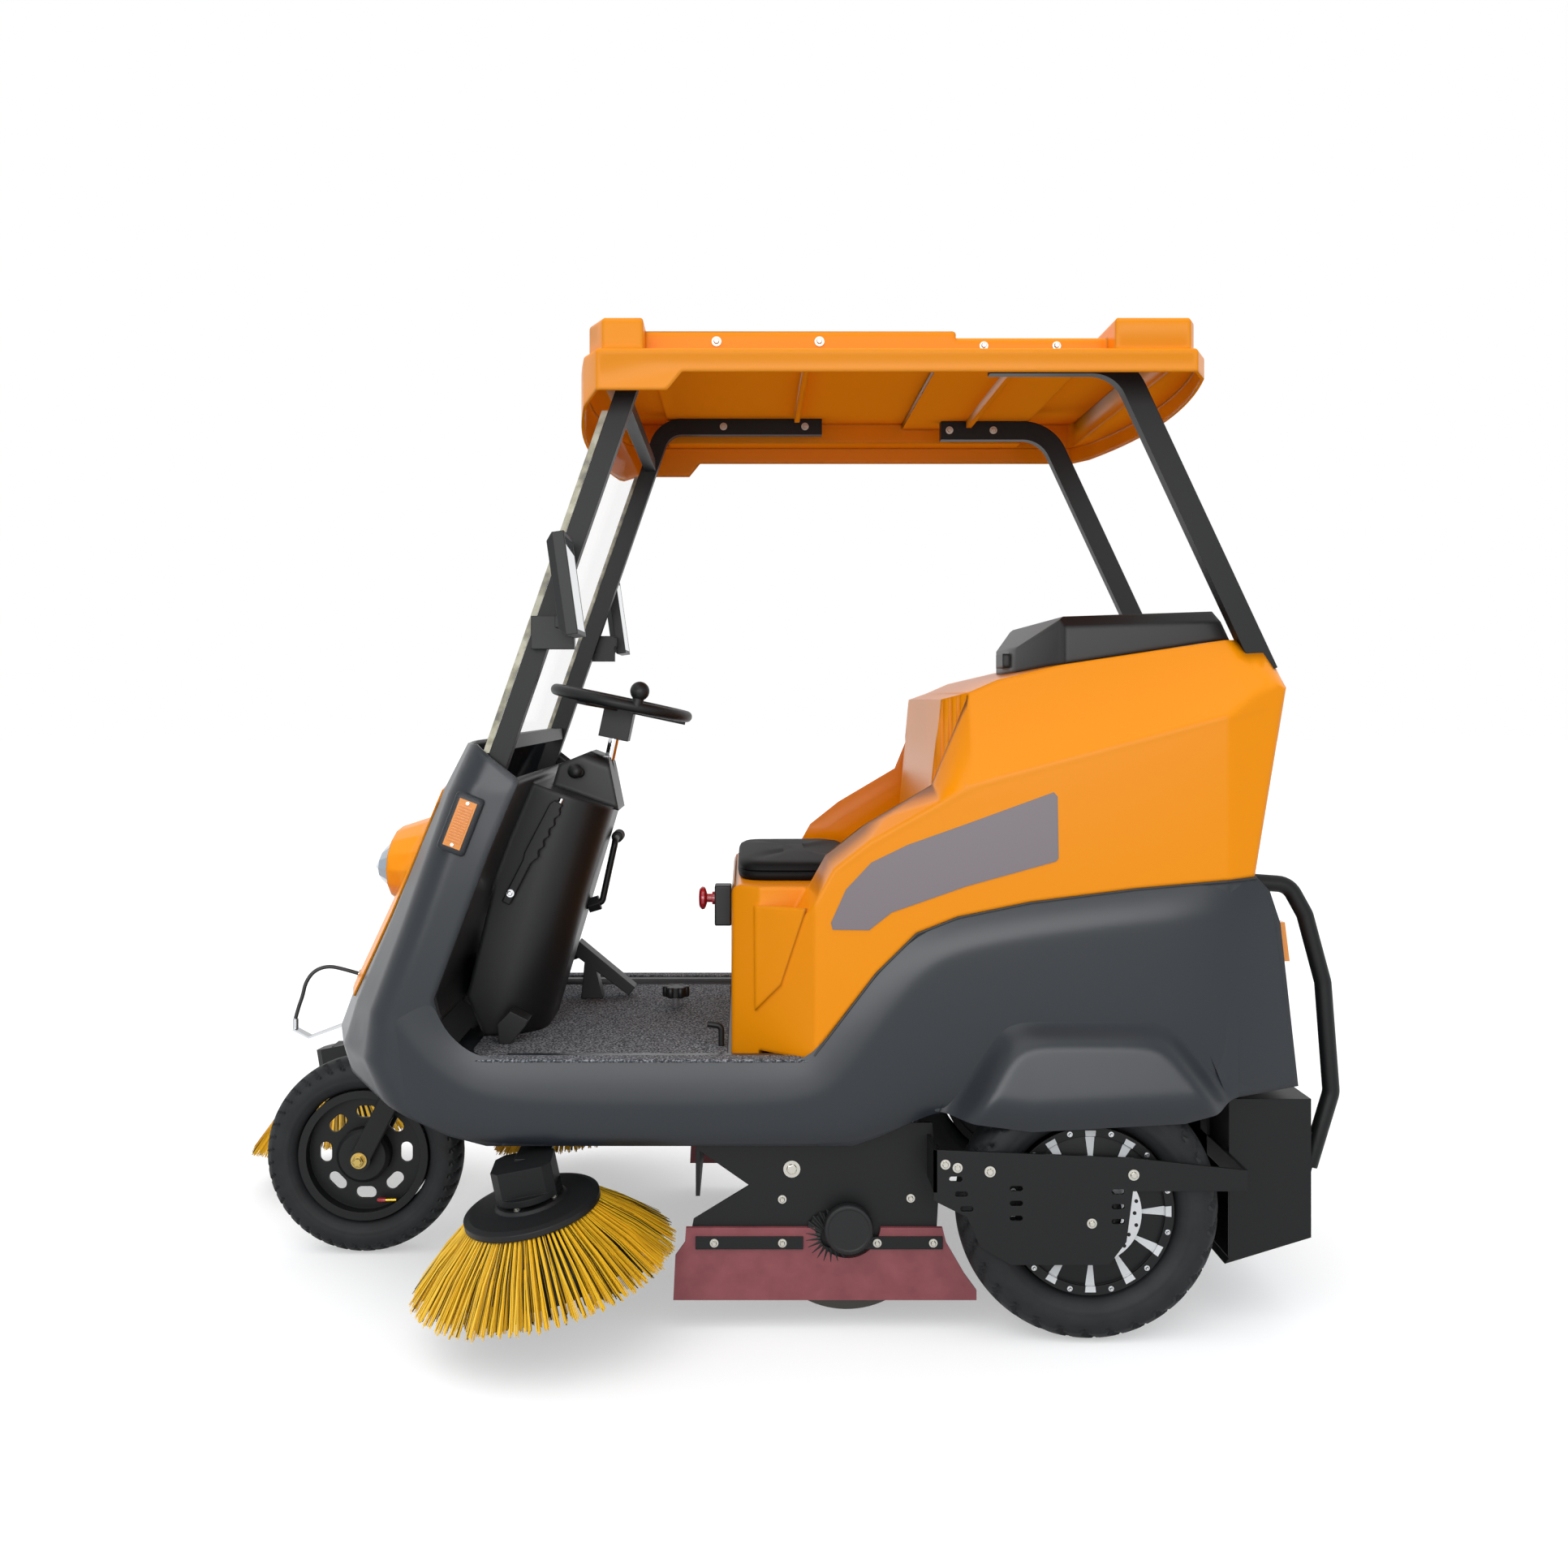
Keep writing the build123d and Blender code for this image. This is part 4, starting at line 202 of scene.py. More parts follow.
def piece(name, bm, made, body, smooth=SHARP_EDGE, bevel_mm=0):
    """Object from a bmesh, smooth-shaded but for edges sharper than an angle, with its edges bevelled if asked."""
    mesh = bpy.data.meshes.new(name)
    bmesh.ops.recalc_face_normals(bm, faces=bm.faces)
    bm.to_mesh(mesh)
    bm.free()
    mesh.shade_smooth()
    mesh.set_sharp_from_angle(angle=math.radians(smooth))
    obj = bpy.data.objects.new(name, mesh)
    bpy.context.scene.collection.objects.link(obj)
    if bevel_mm:
        bevel = obj.modifiers.new("edges", "BEVEL")
        bevel.width = bevel_mm * MM
        bevel.segments = BEVEL_STEPS
        bevel.limit_method = "ANGLE"
    return finish_piece(obj, made, body)


def moulded(node, made, body="chassis", half_width_mm=None, round_mm=0):
    """Stands in for a CAD node, its curved faces shaded smoothly.

    If asked, its flanks are cut off at a half width, its edges are rounded, and faces that look down take the
    second of two materials.
    """
    bm = bmesh.new()
    bm.from_mesh(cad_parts[node].data)
    bmesh.ops.remove_doubles(bm, verts=bm.verts, dist=MERGE_MM * MM)
    for _, sign in SIDES if half_width_mm else ():
        bmesh.ops.bisect_plane(bm, geom=bm.verts[:] + bm.edges[:] + bm.faces[:],
                               plane_co=(0, sign * half_width_mm * MM, 0), plane_no=(0, sign, 0), clear_outer=True)
    bmesh.ops.dissolve_limit(bm, angle_limit=math.radians(ONE_FLAT), verts=bm.verts, edges=bm.edges)
    bmesh.ops.recalc_face_normals(bm, faces=bm.faces)
    for face in bm.faces if isinstance(made, tuple) else ():
        face.material_index = int(face.normal.z < LOOKS_DOWN)
    obj = piece(node + "_moulded", bm, made, body, SHARP_MOULD)
    if round_mm:
        rounding = obj.modifiers.new("rounding", "BEVEL")
        rounding.width = round_mm * MM
        rounding.segments = ROUND_STEPS
        rounding.limit_method = "ANGLE"
        rounding.angle_limit = math.radians(SHARP_MOULD)
    flats = obj.modifiers.new("flats", "WEIGHTED_NORMAL")
    flats.keep_sharp = True
    flats.weight = FLAT_WEIGHT
    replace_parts(obj, node)
    return obj


def facing(place, direction, spin=0.0):
    """Frame at a place in mm whose Z points along a direction."""
    turn = Vector(direction).to_track_quat("Z", "Y").to_matrix().to_4x4()
    return Matrix.Translation(Vector(place) * MM) @ turn @ Matrix.Rotation(spin, 4, "Z")


def polar(radius, angle, height):
    """Point in metres from a radius, an angle and a height in mm."""
    return Vector((radius * math.cos(angle), radius * math.sin(angle), height)) * MM


def turned(bm, profile, place, segments=20):
    """Adds a turned form: (radius, height) points in mm about the Z of a frame."""
    rings = []
    for radius, height in profile:
        count = segments if radius else 1
        ring = []
        for i in range(count):
            angle = 2 * math.pi * i / segments
            ring.append(bm.verts.new(place @ polar(radius, angle, height)))
        rings.append(ring)
    for a, b in zip(rings, rings[1:]):
        for i in range(segments):
            j = (i + 1) % segments
            corners = [a[i % len(a)], a[j % len(a)], b[j % len(b)], b[i % len(b)]]
            bm.faces.new(dict.fromkeys(corners))


def slab(bm, corners, depth):
    """Adds a flat piece: its corners in mm and the vector of its thickness."""
    low = [bm.verts.new(Vector(c) * MM) for c in corners]
    high = [bm.verts.new((Vector(c) + Vector(depth)) * MM) for c in corners]
    bm.faces.new(low)
    bm.faces.new(high[::-1])
    for i in range(len(corners)):
        bm.faces.new((low[i - 1], high[i - 1], high[i], low[i]))


def bolt(bm, place, direction, radius):
    """Adds a hexagon bolt on its washer."""
    seat = facing(place, direction, rng.uniform(0, 1))
    turned(bm, [(share * radius, height) for share, height in WASHER], seat)
    turned(bm, [(share * radius, height) for share, height in BOLT_HEAD], seat, HEXAGON)


def tube(name, points, diameter_mm, made, body):
    """Round hose or rod through points in mm."""
    curve = bpy.data.curves.new(name, "CURVE")
    curve.dimensions = "3D"
    curve.bevel_depth = diameter_mm * MM / 2
    curve.bevel_resolution = TUBE_STEPS
    curve.use_fill_caps = True
    spline = curve.splines.new("NURBS")
    spline.points.add(len(points) - 1)
    for point, place in zip(spline.points, points):
        point.co = (*[c * MM for c in place], 1.0)
    spline.order_u = TUBE_ORDER
    spline.use_endpoint_u = True
    obj = bpy.data.objects.new(name, curve)
    bpy.context.scene.collection.objects.link(obj)
    return finish_piece(obj, made, body)


# CAD nodes shown as they are, each with its material
PLAIN = [
    (black_steel, ["front_rim", "rear_left_rim", "rear_right_rim", "fork", "rear_axle", "chassis_frame", "front_posts",
                   "rear_posts", "guard_bars", "hopper", "roller_housing", "skirt_strips", "brush_arms"]),
    (black_plastic, ["steering_wheel", "foot_controls", "mirror_housings", "battery_pack",
                     "left_brush_plate", "right_brush_plate", "front_brush_plate"]),
    (bristle_black_and_shade, ["roller_brush"]),
    (slate, ["floor_tray"]),
    (red_rubber, ["rubber_skirts"]),
    (felt, ["floor_mat"]),
    (glass, ["windscreen"]),
    (lens_clear, ["headlamp_lens"]),
    (mirror_glass, ["mirror_glass"]),
    (amber, ["amber_lamps"]),
    (stainless, ["spray_nozzle"]),
]
for made, names in PLAIN:
    for name in names:
        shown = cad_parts[name]
        shown.data.materials.clear()
        shown.data.materials.append(made)

# Moulded shells; the rear body's flanks end inside its pressed skin
REAR_BODY_HALF = 437
LID_ROUND = 12
moulded("roof_shell", (yellow, laid_inside))
for node in ("hood", "front_panel"):
    moulded(node, yellow)
moulded("front_cowl", slate)
moulded("rear_body", slate, half_width_mm=REAR_BODY_HALF)
moulded("console", soft_plastic)
moulded("filter_lid", soft_plastic, "filter_lid", round_mm=LID_ROUND)

# Pressed skin on the flanks: a band that leans back under the seam, a long flat and a rolled lower edge
# Columns: top edge x and z, crease x and z, bottom edge x and z, how far the crease stands out
SKIN = [
    (553, 627, 625, 590, 600, 408, 0), (539, 574, 580, 522, 540, 381, 6), (486, 524, 500, 466, 490, 366, 10),
    (425, 510, 425, 438, 425, 356, 11), (100, 510, 100, 436, 100, 356, 11), (-120, 510, -150, 436, -170, 356, 11),
    (-156, 522, -205, 482, -240, 360, 12), (-272, 675, -316, 642, -330, 396, 13),
    (-347, 749, -377, 703, -372, 412, 14), (-423, 779, -436, 727, -393, 420, 14),
    (-559, 807, -567, 754, -550, 401, 14), (-756, 832, -762, 777, -756, 412, 14),
    (-925, 847, -928, 791, -925, 441, 12), (-985, 852, -1016, 800, -1068, 457, 2)]
# Columns: share of the way from one edge to the next, share of the standing out
SKIN_UPPER = [(0, 0), (0.5, 0.6)]
SKIN_LOWER = [(0, 1), (0.06, 1.02), (0.5, 1.0), (0.9, 0.8), (1, 0)]
SKIN_SMOOTHING = 2
BODY_SIDE = 430.6
TAIL_CORNER = -930
TAIL_DRAFT = 45 / 160
# Gasket in the seam over the skin, from this column of SKIN to the tail
SEAM_FROM = 6
SEAM_STAND = 0.6
GASKET_RADIUS = 2.4
GASKET_SIDES = 8


def side_at(x, out):
    """Station across the machine of a point on the flank."""
    return BODY_SIDE + out - max(0, TAIL_CORNER - x) * TAIL_DRAFT


for side, sign in SIDES:
    bm = bmesh.new()
    columns = []
    for x0, z0, x1, z1, x2, z2, out in SKIN:
        column = []
        for (xa, za), (xb, zb), steps in (((x0, z0), (x1, z1), SKIN_UPPER), ((x1, z1), (x2, z2), SKIN_LOWER)):
            for share, stand in steps:
                x = xa + (xb - xa) * share
                z = za + (zb - za) * share
                column.append(bm.verts.new(Vector((x, sign * side_at(x, out * stand), z)) * MM))
        columns.append(column)
    for a, b in zip(columns, columns[1:]):
        for i in range(len(a) - 1):
            bm.faces.new((a[i], a[i + 1], b[i + 1], b[i]))
    skin = piece(f"flank_skin_{side}", bm, slate, "chassis", smooth=60)
    rounding = skin.modifiers.new("rounding", "SUBSURF")
    rounding.levels = rounding.render_levels = SKIN_SMOOTHING
    bm = bmesh.new()
    seam = [Vector((x, sign * side_at(x, SEAM_STAND), z)) for x, z, *_ in SKIN[SEAM_FROM:]]
    for a, b in zip(seam, seam[1:]):
        length = (b - a).length
        run = [(0, 0), (GASKET_RADIUS, 0), (GASKET_RADIUS, length), (0, length)]
        turned(bm, run, facing(a, b - a), GASKET_SIDES)
    piece(f"seam_gasket_{side}", bm, hose_rubber, "chassis")

# Felt that laps over the sills
# Columns: x, distance from the middle
LAP_CORNERS = [(478, 396), (478, 433), (-146, 433), (-146, 396)]
LAP_HEIGHT = 509.5
FELT_THICKNESS = 6
bm = bmesh.new()
for _, sign in SIDES:
    slab(bm, [(x, sign * y, LAP_HEIGHT) for x, y in LAP_CORNERS], (0, 0, FELT_THICKNESS))
piece("mat_laps", bm, felt, "chassis", bevel_mm=2.5)

# Arches over the rear wheels: a soft shoulder all round, a face that leans back and a lip that turns in below
# Columns: x and z of a point on the arch's edge, x and z of the direction into the arch
ARCH_EDGES = [(-391, 420, -0.865, -0.502), (-660, 606, 0, -1), (-866, 541, 0.807, -0.590)]
ARCH_BOTTOM = [(-380, 420), (-550, 398), (-828, 413), (-946, 445)]
ARCH_TOP = 615
ARCH_FOOT = 434
ARCH_DEPTH = 77
ARCH_LEAN = 36
ARCH_LIP = 20
ARCH_LIP_HEIGHT = 62
ARCH_SLOPE = 56
ARCH_BLEND = 16
ARCH_COLUMNS = 96
ARCH_ROWS = 40


def height_at(x, points):
    """Height of a line of points, listed towards the tail, at a station."""
    for (xa, za), (xb, zb) in zip(points, points[1:]):
        if x >= xb:
            return za + (zb - za) * (x - xa) / (xb - xa)
    return points[-1][1]


def arch_out(x, z, low):
    """How far the arch stands out over its foot."""
    inside = [(x - ex) * nx + (z - ez) * nz for ex, ez, nx, nz in ARCH_EDGES]
    reach = -ARCH_BLEND * math.log(sum(math.exp(-d / ARCH_BLEND) for d in inside))
    share = min(max(reach / ARCH_SLOPE, 0), 1)
    lip = ARCH_LIP * max(0, 1 - (z - low) / ARCH_LIP_HEIGHT) ** 2
    face = ARCH_DEPTH - ARCH_LEAN * (z - low) / (ARCH_TOP - low) - lip
    return face * share * share * (3 - 2 * share)


for side, sign in SIDES:
    bm = bmesh.new()
    columns = []
    for i in range(ARCH_COLUMNS + 1):
        x = ARCH_BOTTOM[0][0] + (ARCH_BOTTOM[-1][0] - ARCH_BOTTOM[0][0]) * i / ARCH_COLUMNS
        low = height_at(x, ARCH_BOTTOM)
        column = []
        for j in range(ARCH_ROWS + 1):
            z = low + (ARCH_TOP - low) * j / ARCH_ROWS
            foot = ARCH_FOOT - max(0, TAIL_CORNER - x) * TAIL_DRAFT
            column.append(bm.verts.new(Vector((x, sign * (foot + arch_out(x, z, low)), z)) * MM))
        columns.append(column)
    for a, b in zip(columns, columns[1:]):
        for j in range(ARCH_ROWS):
            bm.faces.new((a[j], a[j + 1], b[j + 1], b[j]))
    piece(f"wheel_arch_{side}", bm, slate, "chassis", smooth=80)

# Wheel guards: plates punched with three rows of short slots, their arms bent in behind the wheels
GUARD_OUTLINE = [(-370, 367), (-370, 275), (-430, 245), (-455, 190), (-510, 158), (-688, 158), (-720, 200),
                 (-732, 292), (-935, 292), (-935, 330), (-732, 352)]
# Columns: x of a row's top slot, height of the top slot, lean of the row
GUARD_SLOTS = [(-410, 314, -10), (-520, 297, 0), (-705, 291, 0)]
SLOTS_A_ROW = 3
SLOT_POINTS = 12
SLOT_PITCH = 27
SLOT_HALF_LENGTH = 7
SLOT_RADIUS = 5
GUARD_INSIDE = 490
GUARD_THICKNESS = 6
# Columns: x of the front face, inner and outer distance from the middle, bottom and top of each bracket
GUARD_BLOCKS = [(-935, 240, 496, 292, 330), (-935, 240, 280, 292, 400), (-370, 398, 496, 290, 367)]


def punched(bm, outline, holes, y, depth):
    """Adds an upright plate along the machine, with holes through it."""
    edges = []
    for loop in [outline] + holes:
        verts = [bm.verts.new(Vector((x, y, z)) * MM) for x, z in loop]
        edges += [bm.edges.new((verts[i - 1], verts[i])) for i in range(len(verts))]
    filled = bmesh.ops.triangle_fill(bm, edges=edges, use_beauty=True, normal=(0, 1, 0))["geom"]
    faces = [g for g in filled if isinstance(g, bmesh.types.BMFace)]
    grown = bmesh.ops.extrude_face_region(bm, geom=faces, use_keep_orig=True)["geom"]
    moved = [g for g in grown if isinstance(g, bmesh.types.BMVert)]
    bmesh.ops.translate(bm, verts=moved, vec=(0, depth * MM, 0))


slots = []
for x, z, lean in GUARD_SLOTS:
    for i in range(SLOTS_A_ROW):
        slot = []
        for k in range(SLOT_POINTS):
            angle = 2 * math.pi * (k + 0.5) / SLOT_POINTS
            end = math.copysign(SLOT_HALF_LENGTH, math.cos(angle))
            slot.append((x + lean * i + end + SLOT_RADIUS * math.cos(angle),
                         z - SLOT_PITCH * i + SLOT_RADIUS * math.sin(angle)))
        slots.append(slot)
bm = bmesh.new()
for _, sign in SIDES:
    punched(bm, GUARD_OUTLINE, slots, sign * GUARD_INSIDE, sign * GUARD_THICKNESS)
    for x, y_from, y_to, z_from, z_to in GUARD_BLOCKS:
        slab(bm, [(x, sign * y_from, z_from), (x, sign * y_to, z_from), (x, sign * y_to, z_to),
                  (x, sign * y_from, z_to)], (-GUARD_THICKNESS, 0, 0))
guards = piece("wheel_guards_punched", bm, black_steel, "chassis", smooth=30)
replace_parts(guards, "wheel_guards")

# Disc brushes: tufts of straight bristles in three rows, yellow with some black, round a dark core; the mostly black
# inner row is partly painted shade, and the dark core is painted shade seen between the tufts
TUFTS = 92
STRANDS = 12
ROW_SHIFT = 0.12
# Columns: radius at the root, radius at the tip, share of black bristles; the large share in the inner row is partly
# painted shade
BRISTLE_ROWS = [(117, 245, 0.06), (106, 228, 0.15), (96, 211, 0.6)]
# Spread round the disc of tufts, roots and tips, in radians
TUFT_LEAN = 0.009
ROOT_SPREAD = 0.009
TIP_SPREAD = 0.0095
# Least and most that a length strays: a tuft's reach, a root's and a tip's radius, a tip's height
TUFT_REACH = (-5, 3)
ROOT_REACH = (-4, 4)
TIP_REACH = (-7, 4)
TIP_RISE = (0, 9)
# How far a bristle bows at its middle, and its radius at root, middle and tip
BOW_OUT = 4
BOW_UP = 3
STRAND_RADII = (0.9, 1.0, 1.05)
STRAND_CORNERS = (0, 2.094, 4.189)
DISC_HEIGHT = 266
ROOT_DROP = -21
TIP_DROP = -139
# Dark cone just inside the bristles, painted shade seen through the gaps between the tufts. Columns: radius, height
CORE = [(88, ROOT_DROP), (186, -128), (182, -128), (84, ROOT_DROP)]
CORE_SIDES = 48
STUDS = 4
STUD_CIRCLE = 50
STUD_WASHER = 7
TILT_FORWARD = math.tan(math.radians(11))
TILT_OUTWARD = math.tan(math.radians(5))
# Columns: name, x, y, side of the machine
BRUSHES = [("left", 370, 450, 1), ("right", 370, -450, -1), ("front", 957.75, -450, -1)]


def strand(bm, path, widths):
    """Adds one three-sided bristle along points in metres."""
    rings = []
    for spot, width in zip(path, widths):
        corners = [Vector((math.cos(a), math.sin(a), 0)) * width * MM for a in STRAND_CORNERS]
        rings.append([bm.verts.new(spot + c) for c in corners])
    made = []
    for a, b in zip(rings, rings[1:]):
        made += [bm.faces.new((a[i - 1], a[i], b[i], b[i - 1])) for i in range(len(a))]
    made.append(bm.faces.new(rings[-1]))
    return made


for name, x, y, sign in BRUSHES:
    spindle = facing((x, y, DISC_HEIGHT), (TILT_FORWARD, sign * TILT_OUTWARD, 1))
    bm = bmesh.new()
    for row, (root, tip, dark) in enumerate(BRISTLE_ROWS):
        for tuft in range(TUFTS):
            angle = 2 * math.pi * (tuft + row * ROW_SHIFT) / TUFTS
            lean = rng.gauss(0, TUFT_LEAN)
            reach = tip + rng.uniform(*TUFT_REACH)
            for _ in range(STRANDS):
                start = angle + rng.gauss(0, ROOT_SPREAD)
                end = angle + lean + rng.gauss(0, TIP_SPREAD)
                r0 = root + rng.uniform(*ROOT_REACH)
                r1 = reach + rng.uniform(*TIP_REACH)
                z1 = TIP_DROP + rng.uniform(*TIP_RISE)
                middle = polar((r0 + r1) / 2 + BOW_OUT, (start + end) / 2, (ROOT_DROP + z1) / 2 + BOW_UP)
                path = [polar(r0, start, ROOT_DROP), middle, polar(r1, end, z1)]
                faces = strand(bm, path, STRAND_RADII)
                if rng.random() < dark:
                    for face in faces:
                        face.material_index = 1
    bm.transform(spindle)
    body = f"{name}_brush"
    strands = piece(f"{name}_brush_strands", bm, (bristle_yellow, bristle_black_and_shade), body, smooth=70)
    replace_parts(strands, f"{name}_brush_bristles")
    # Dark core: a sheet of painted shade behind the tufts
    bm = bmesh.new()
    turned(bm, CORE, spindle, CORE_SIDES)
    piece(f"{name}_brush_shade_core", bm, bristle_black_and_shade, body)
    bm = bmesh.new()
    axis = spindle.to_3x3() @ Vector((0, 0, 1))
    for i in range(STUDS):
        around = 2 * math.pi * (i + 0.5) / STUDS
        bolt(bm, spindle @ polar(STUD_CIRCLE, around, 0) / MM, axis, STUD_WASHER)
    piece(f"{name}_brush_studs", bm, zinc, body)

# Tyres: grooved shoulders and ringed side walls, on a round-cornered section
FRONT_AXLE = 791
FRONT_RADIUS = 210
REAR_AXLE = -663
REAR_RADIUS = 243
HALF_TRACK = 420
# Columns: node, body, axle x and y, radius, rim radius, half width, blocks round, slant, groove depth
TYRES = [
    ("front_tyre", "front_wheel", FRONT_AXLE, 0, FRONT_RADIUS, 138, 41, 44, 0.55, 3.5),
    ("rear_left_tyre", "rear_left_wheel", REAR_AXLE, HALF_TRACK, REAR_RADIUS, 154, 50, 30, 0.8, 4.5),
    ("rear_right_tyre", "rear_right_wheel", REAR_AXLE, -HALF_TRACK, REAR_RADIUS, 154, 50, 30, 0.8, 4.5)]
SECTION_STEPS = 48
SECTION_REACH = math.radians(150)
STEPS_A_BLOCK = 8
RING_STEPS = (7, 10, 14, 34, 38, 41)
RING_SWELL = 1.0
SECTION_POWER = 0.8
# Share of a block that its groove takes, and where on the section, in radians from the middle, a groove runs
GROOVE_SHARE = 0.26
GROOVE_FROM = 0.22
GROOVE_TO = 1.25


def powered(value):
    """Share of a superellipse's half axis."""
    return math.copysign(abs(value) ** SECTION_POWER, value)


for node, body, x, y, radius, rim, half, blocks, slant, depth in TYRES:
    bm = bmesh.new()
    wheel = facing((x, y, radius), (0, 1, 0))
    middle = (radius + rim) / 2
    high = (radius - rim) / 2
    count = blocks * STEPS_A_BLOCK
    rings = []
    for i in range(count):
        ring = []
        for j in range(SECTION_STEPS + 1):
            t = SECTION_REACH * (2 * j / SECTION_STEPS - 1)
            cut = (i / STEPS_A_BLOCK + slant * t) % 1 < GROOVE_SHARE
            grooved = cut and GROOVE_FROM < abs(t) < GROOVE_TO
            swell = -depth if grooved else RING_SWELL if j in RING_STEPS else 0.0
            spot = polar(middle + (high + swell) * powered(math.cos(t)), 2 * math.pi * i / count,
                         (half + swell) * powered(math.sin(t)))
            ring.append(bm.verts.new(wheel @ spot))
        rings.append(ring)
    for a, b in zip(rings, rings[1:] + rings[:1]):
        for j in range(SECTION_STEPS):
            bm.faces.new((a[j], a[j + 1], b[j + 1], b[j]))
    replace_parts(piece(node + "_treaded", bm, tyre_rubber, body, smooth=40), node)

# Front wheel: axle nuts on the fork, valve with its red cap in the rim
# Each profile's columns: radius, height
FORK_OUTSIDE = 63
AXLE_WASHER = [(17, 0), (17, 2.5), (8, 2.5)]
AXLE_NUT = [(13, 2.5), (13, 10), (11, 12), (8.2, 12), (8.2, 14.5), (0, 14.5)]
VALVE_STEM = [(0, 0), (4, 0), (4, 24), (0, 24)]
VALVE_CAP = [(0, 0), (5, 0), (5, 15), (3, 18), (0, 18)]
VALVE_SIDES = 12
bm = bmesh.new()
for _, sign in SIDES:
    end = facing((FRONT_AXLE, sign * FORK_OUTSIDE, FRONT_RADIUS), (0, sign, 0))
    turned(bm, AXLE_WASHER, end)
    turned(bm, AXLE_NUT, end, HEXAGON)
piece("front_axle_nuts", bm, zinc_yellow, "steering_fork")
VALVE_PLACE = (20, 112)
# Columns: name, profile, x of its foot, material
VALVE_PARTS = [("valve_stem", VALVE_STEM, 722, brass), ("valve_cap", VALVE_CAP, 745, red_plastic)]
for name, profile, x, made in VALVE_PARTS:
    bm = bmesh.new()
    turned(bm, profile, facing((x, *VALVE_PLACE), (1, 0, 0)), VALVE_SIDES)
    piece(name, bm, made, "front_wheel")

# Rear wheels: white wedges and bolts on the motor covers, a brake disc round the boss
MARKS = 12
# Columns: radius, half width, height over the hub's middle
MARK_STATIONS = [(93, 3.5, 40.2), (136, 8.5, 35.6), (138.5, 9, 40.7), (149, 10, 40.7)]
COVER_BOLT_CIRCLE = 147
COVER_BOLT_SEAT = 40
COVER_BOLT_WASHER = 5
# Columns: radius, height
BRAKE_DISC = [(56, 46), (56, 49), (92, 49), (92, 46), (56, 46)]
BRAKE_DISC_SIDES = 64
BRAKE_HOLES = 24
BRAKE_HOLE = [(3.6, 0), (3.6, 0.4), (0, 0.4)]
BRAKE_HOLE_SIDES = 10
# Radii of the two rows of holes in turn, and the height of the disc's face
BRAKE_HOLE_CIRCLES = (79, 85)
BRAKE_FACE = 49
for side, sign in SIDES:
    body = f"rear_{side}_wheel"
    hub = facing((REAR_AXLE, sign * HALF_TRACK, REAR_RADIUS), (0, sign, 0))
    bm = bmesh.new()
    for i in range(MARKS):
        spin = hub @ Matrix.Rotation(2 * math.pi * i / MARKS, 4, "Z")
        pairs = []
        for radius, half, height in MARK_STATIONS:
            pairs.append([bm.verts.new(spin @ (Vector((radius, s * half, height)) * MM)) for s in (-1, 1)])
        for (a, b), (c, d) in zip(pairs, pairs[1:]):
            bm.faces.new((a, b, d, c))
    piece(f"hub_marks_{side}", bm, white_print, body)
    bm = bmesh.new()
    for i in range(MARKS):
        around = 2 * math.pi * (i + 0.5) / MARKS
        bolt(bm, hub @ polar(COVER_BOLT_CIRCLE, around, COVER_BOLT_SEAT) / MM, (0, sign, 0), COVER_BOLT_WASHER)
    turned(bm, BRAKE_DISC, hub, BRAKE_DISC_SIDES)
    piece(f"hub_bolts_{side}", bm, stainless, body)
    bm = bmesh.new()
    for i in range(BRAKE_HOLES):
        around = 2 * math.pi * i / BRAKE_HOLES
        spot = polar(BRAKE_HOLE_CIRCLES[i % 2], around, BRAKE_FACE)
        turned(bm, BRAKE_HOLE, hub @ Matrix.Translation(spot), BRAKE_HOLE_SIDES)
    piece(f"brake_disc_holes_{side}", bm, black_steel, body)

# Bolts on both sides of the machine
# Columns: x, distance from the middle, height, washer radius, 1 if it faces out and -1 if it faces in
BOLTS = [
    (-115, 398, 301, 16, 1), (-97, 398, 244, 8, 1), (-339, 398, 246, 8, 1),
    (31, 410, 166, 8, 1), (-97, 410, 166, 8, 1), (-275, 410, 166, 8, 1), (-380, 410, 166, 8, 1),
    (-391, 496, 341, 9, 1), (-413, 496, 335, 9, 1), (-472, 496, 328, 10, 1), (-733, 496, 322, 10, 1),
    (-657, 496, 234, 9, 1),
    (26, 440, 1850, 9, 1), (-165, 440, 1850, 9, 1), (-470, 440, 1842, 8, 1), (-605, 440, 1842, 8, 1),
    (26, 369, 1847, 9, -1), (-171, 369, 1847, 9, -1), (-515, 332, 1831, 9, -1), (-620, 332, 1831, 9, -1)]
bm = bmesh.new()
for x, y, z, radius, out in BOLTS:
    for _, sign in SIDES:
        bolt(bm, (x, sign * y, z), (0, sign * out, 0), radius)
piece("body_bolts", bm, zinc, "chassis", smooth=30)

# Pleated dust boots where the roller's shaft leaves the housing, and caps on its ends
PLEATS = 22
# Columns: x, distance from the middle, height
BOOT_PLACE = (-188, 398.5, 176)
CAP_PLACE = (-220, 432, 198)
# Columns: radius and height of the outer and then the inner edge, in a fold's valley and on its ridge
BOOT_EDGES = [((50, 1), (47, 8)), ((20, 8), (20, 10))]
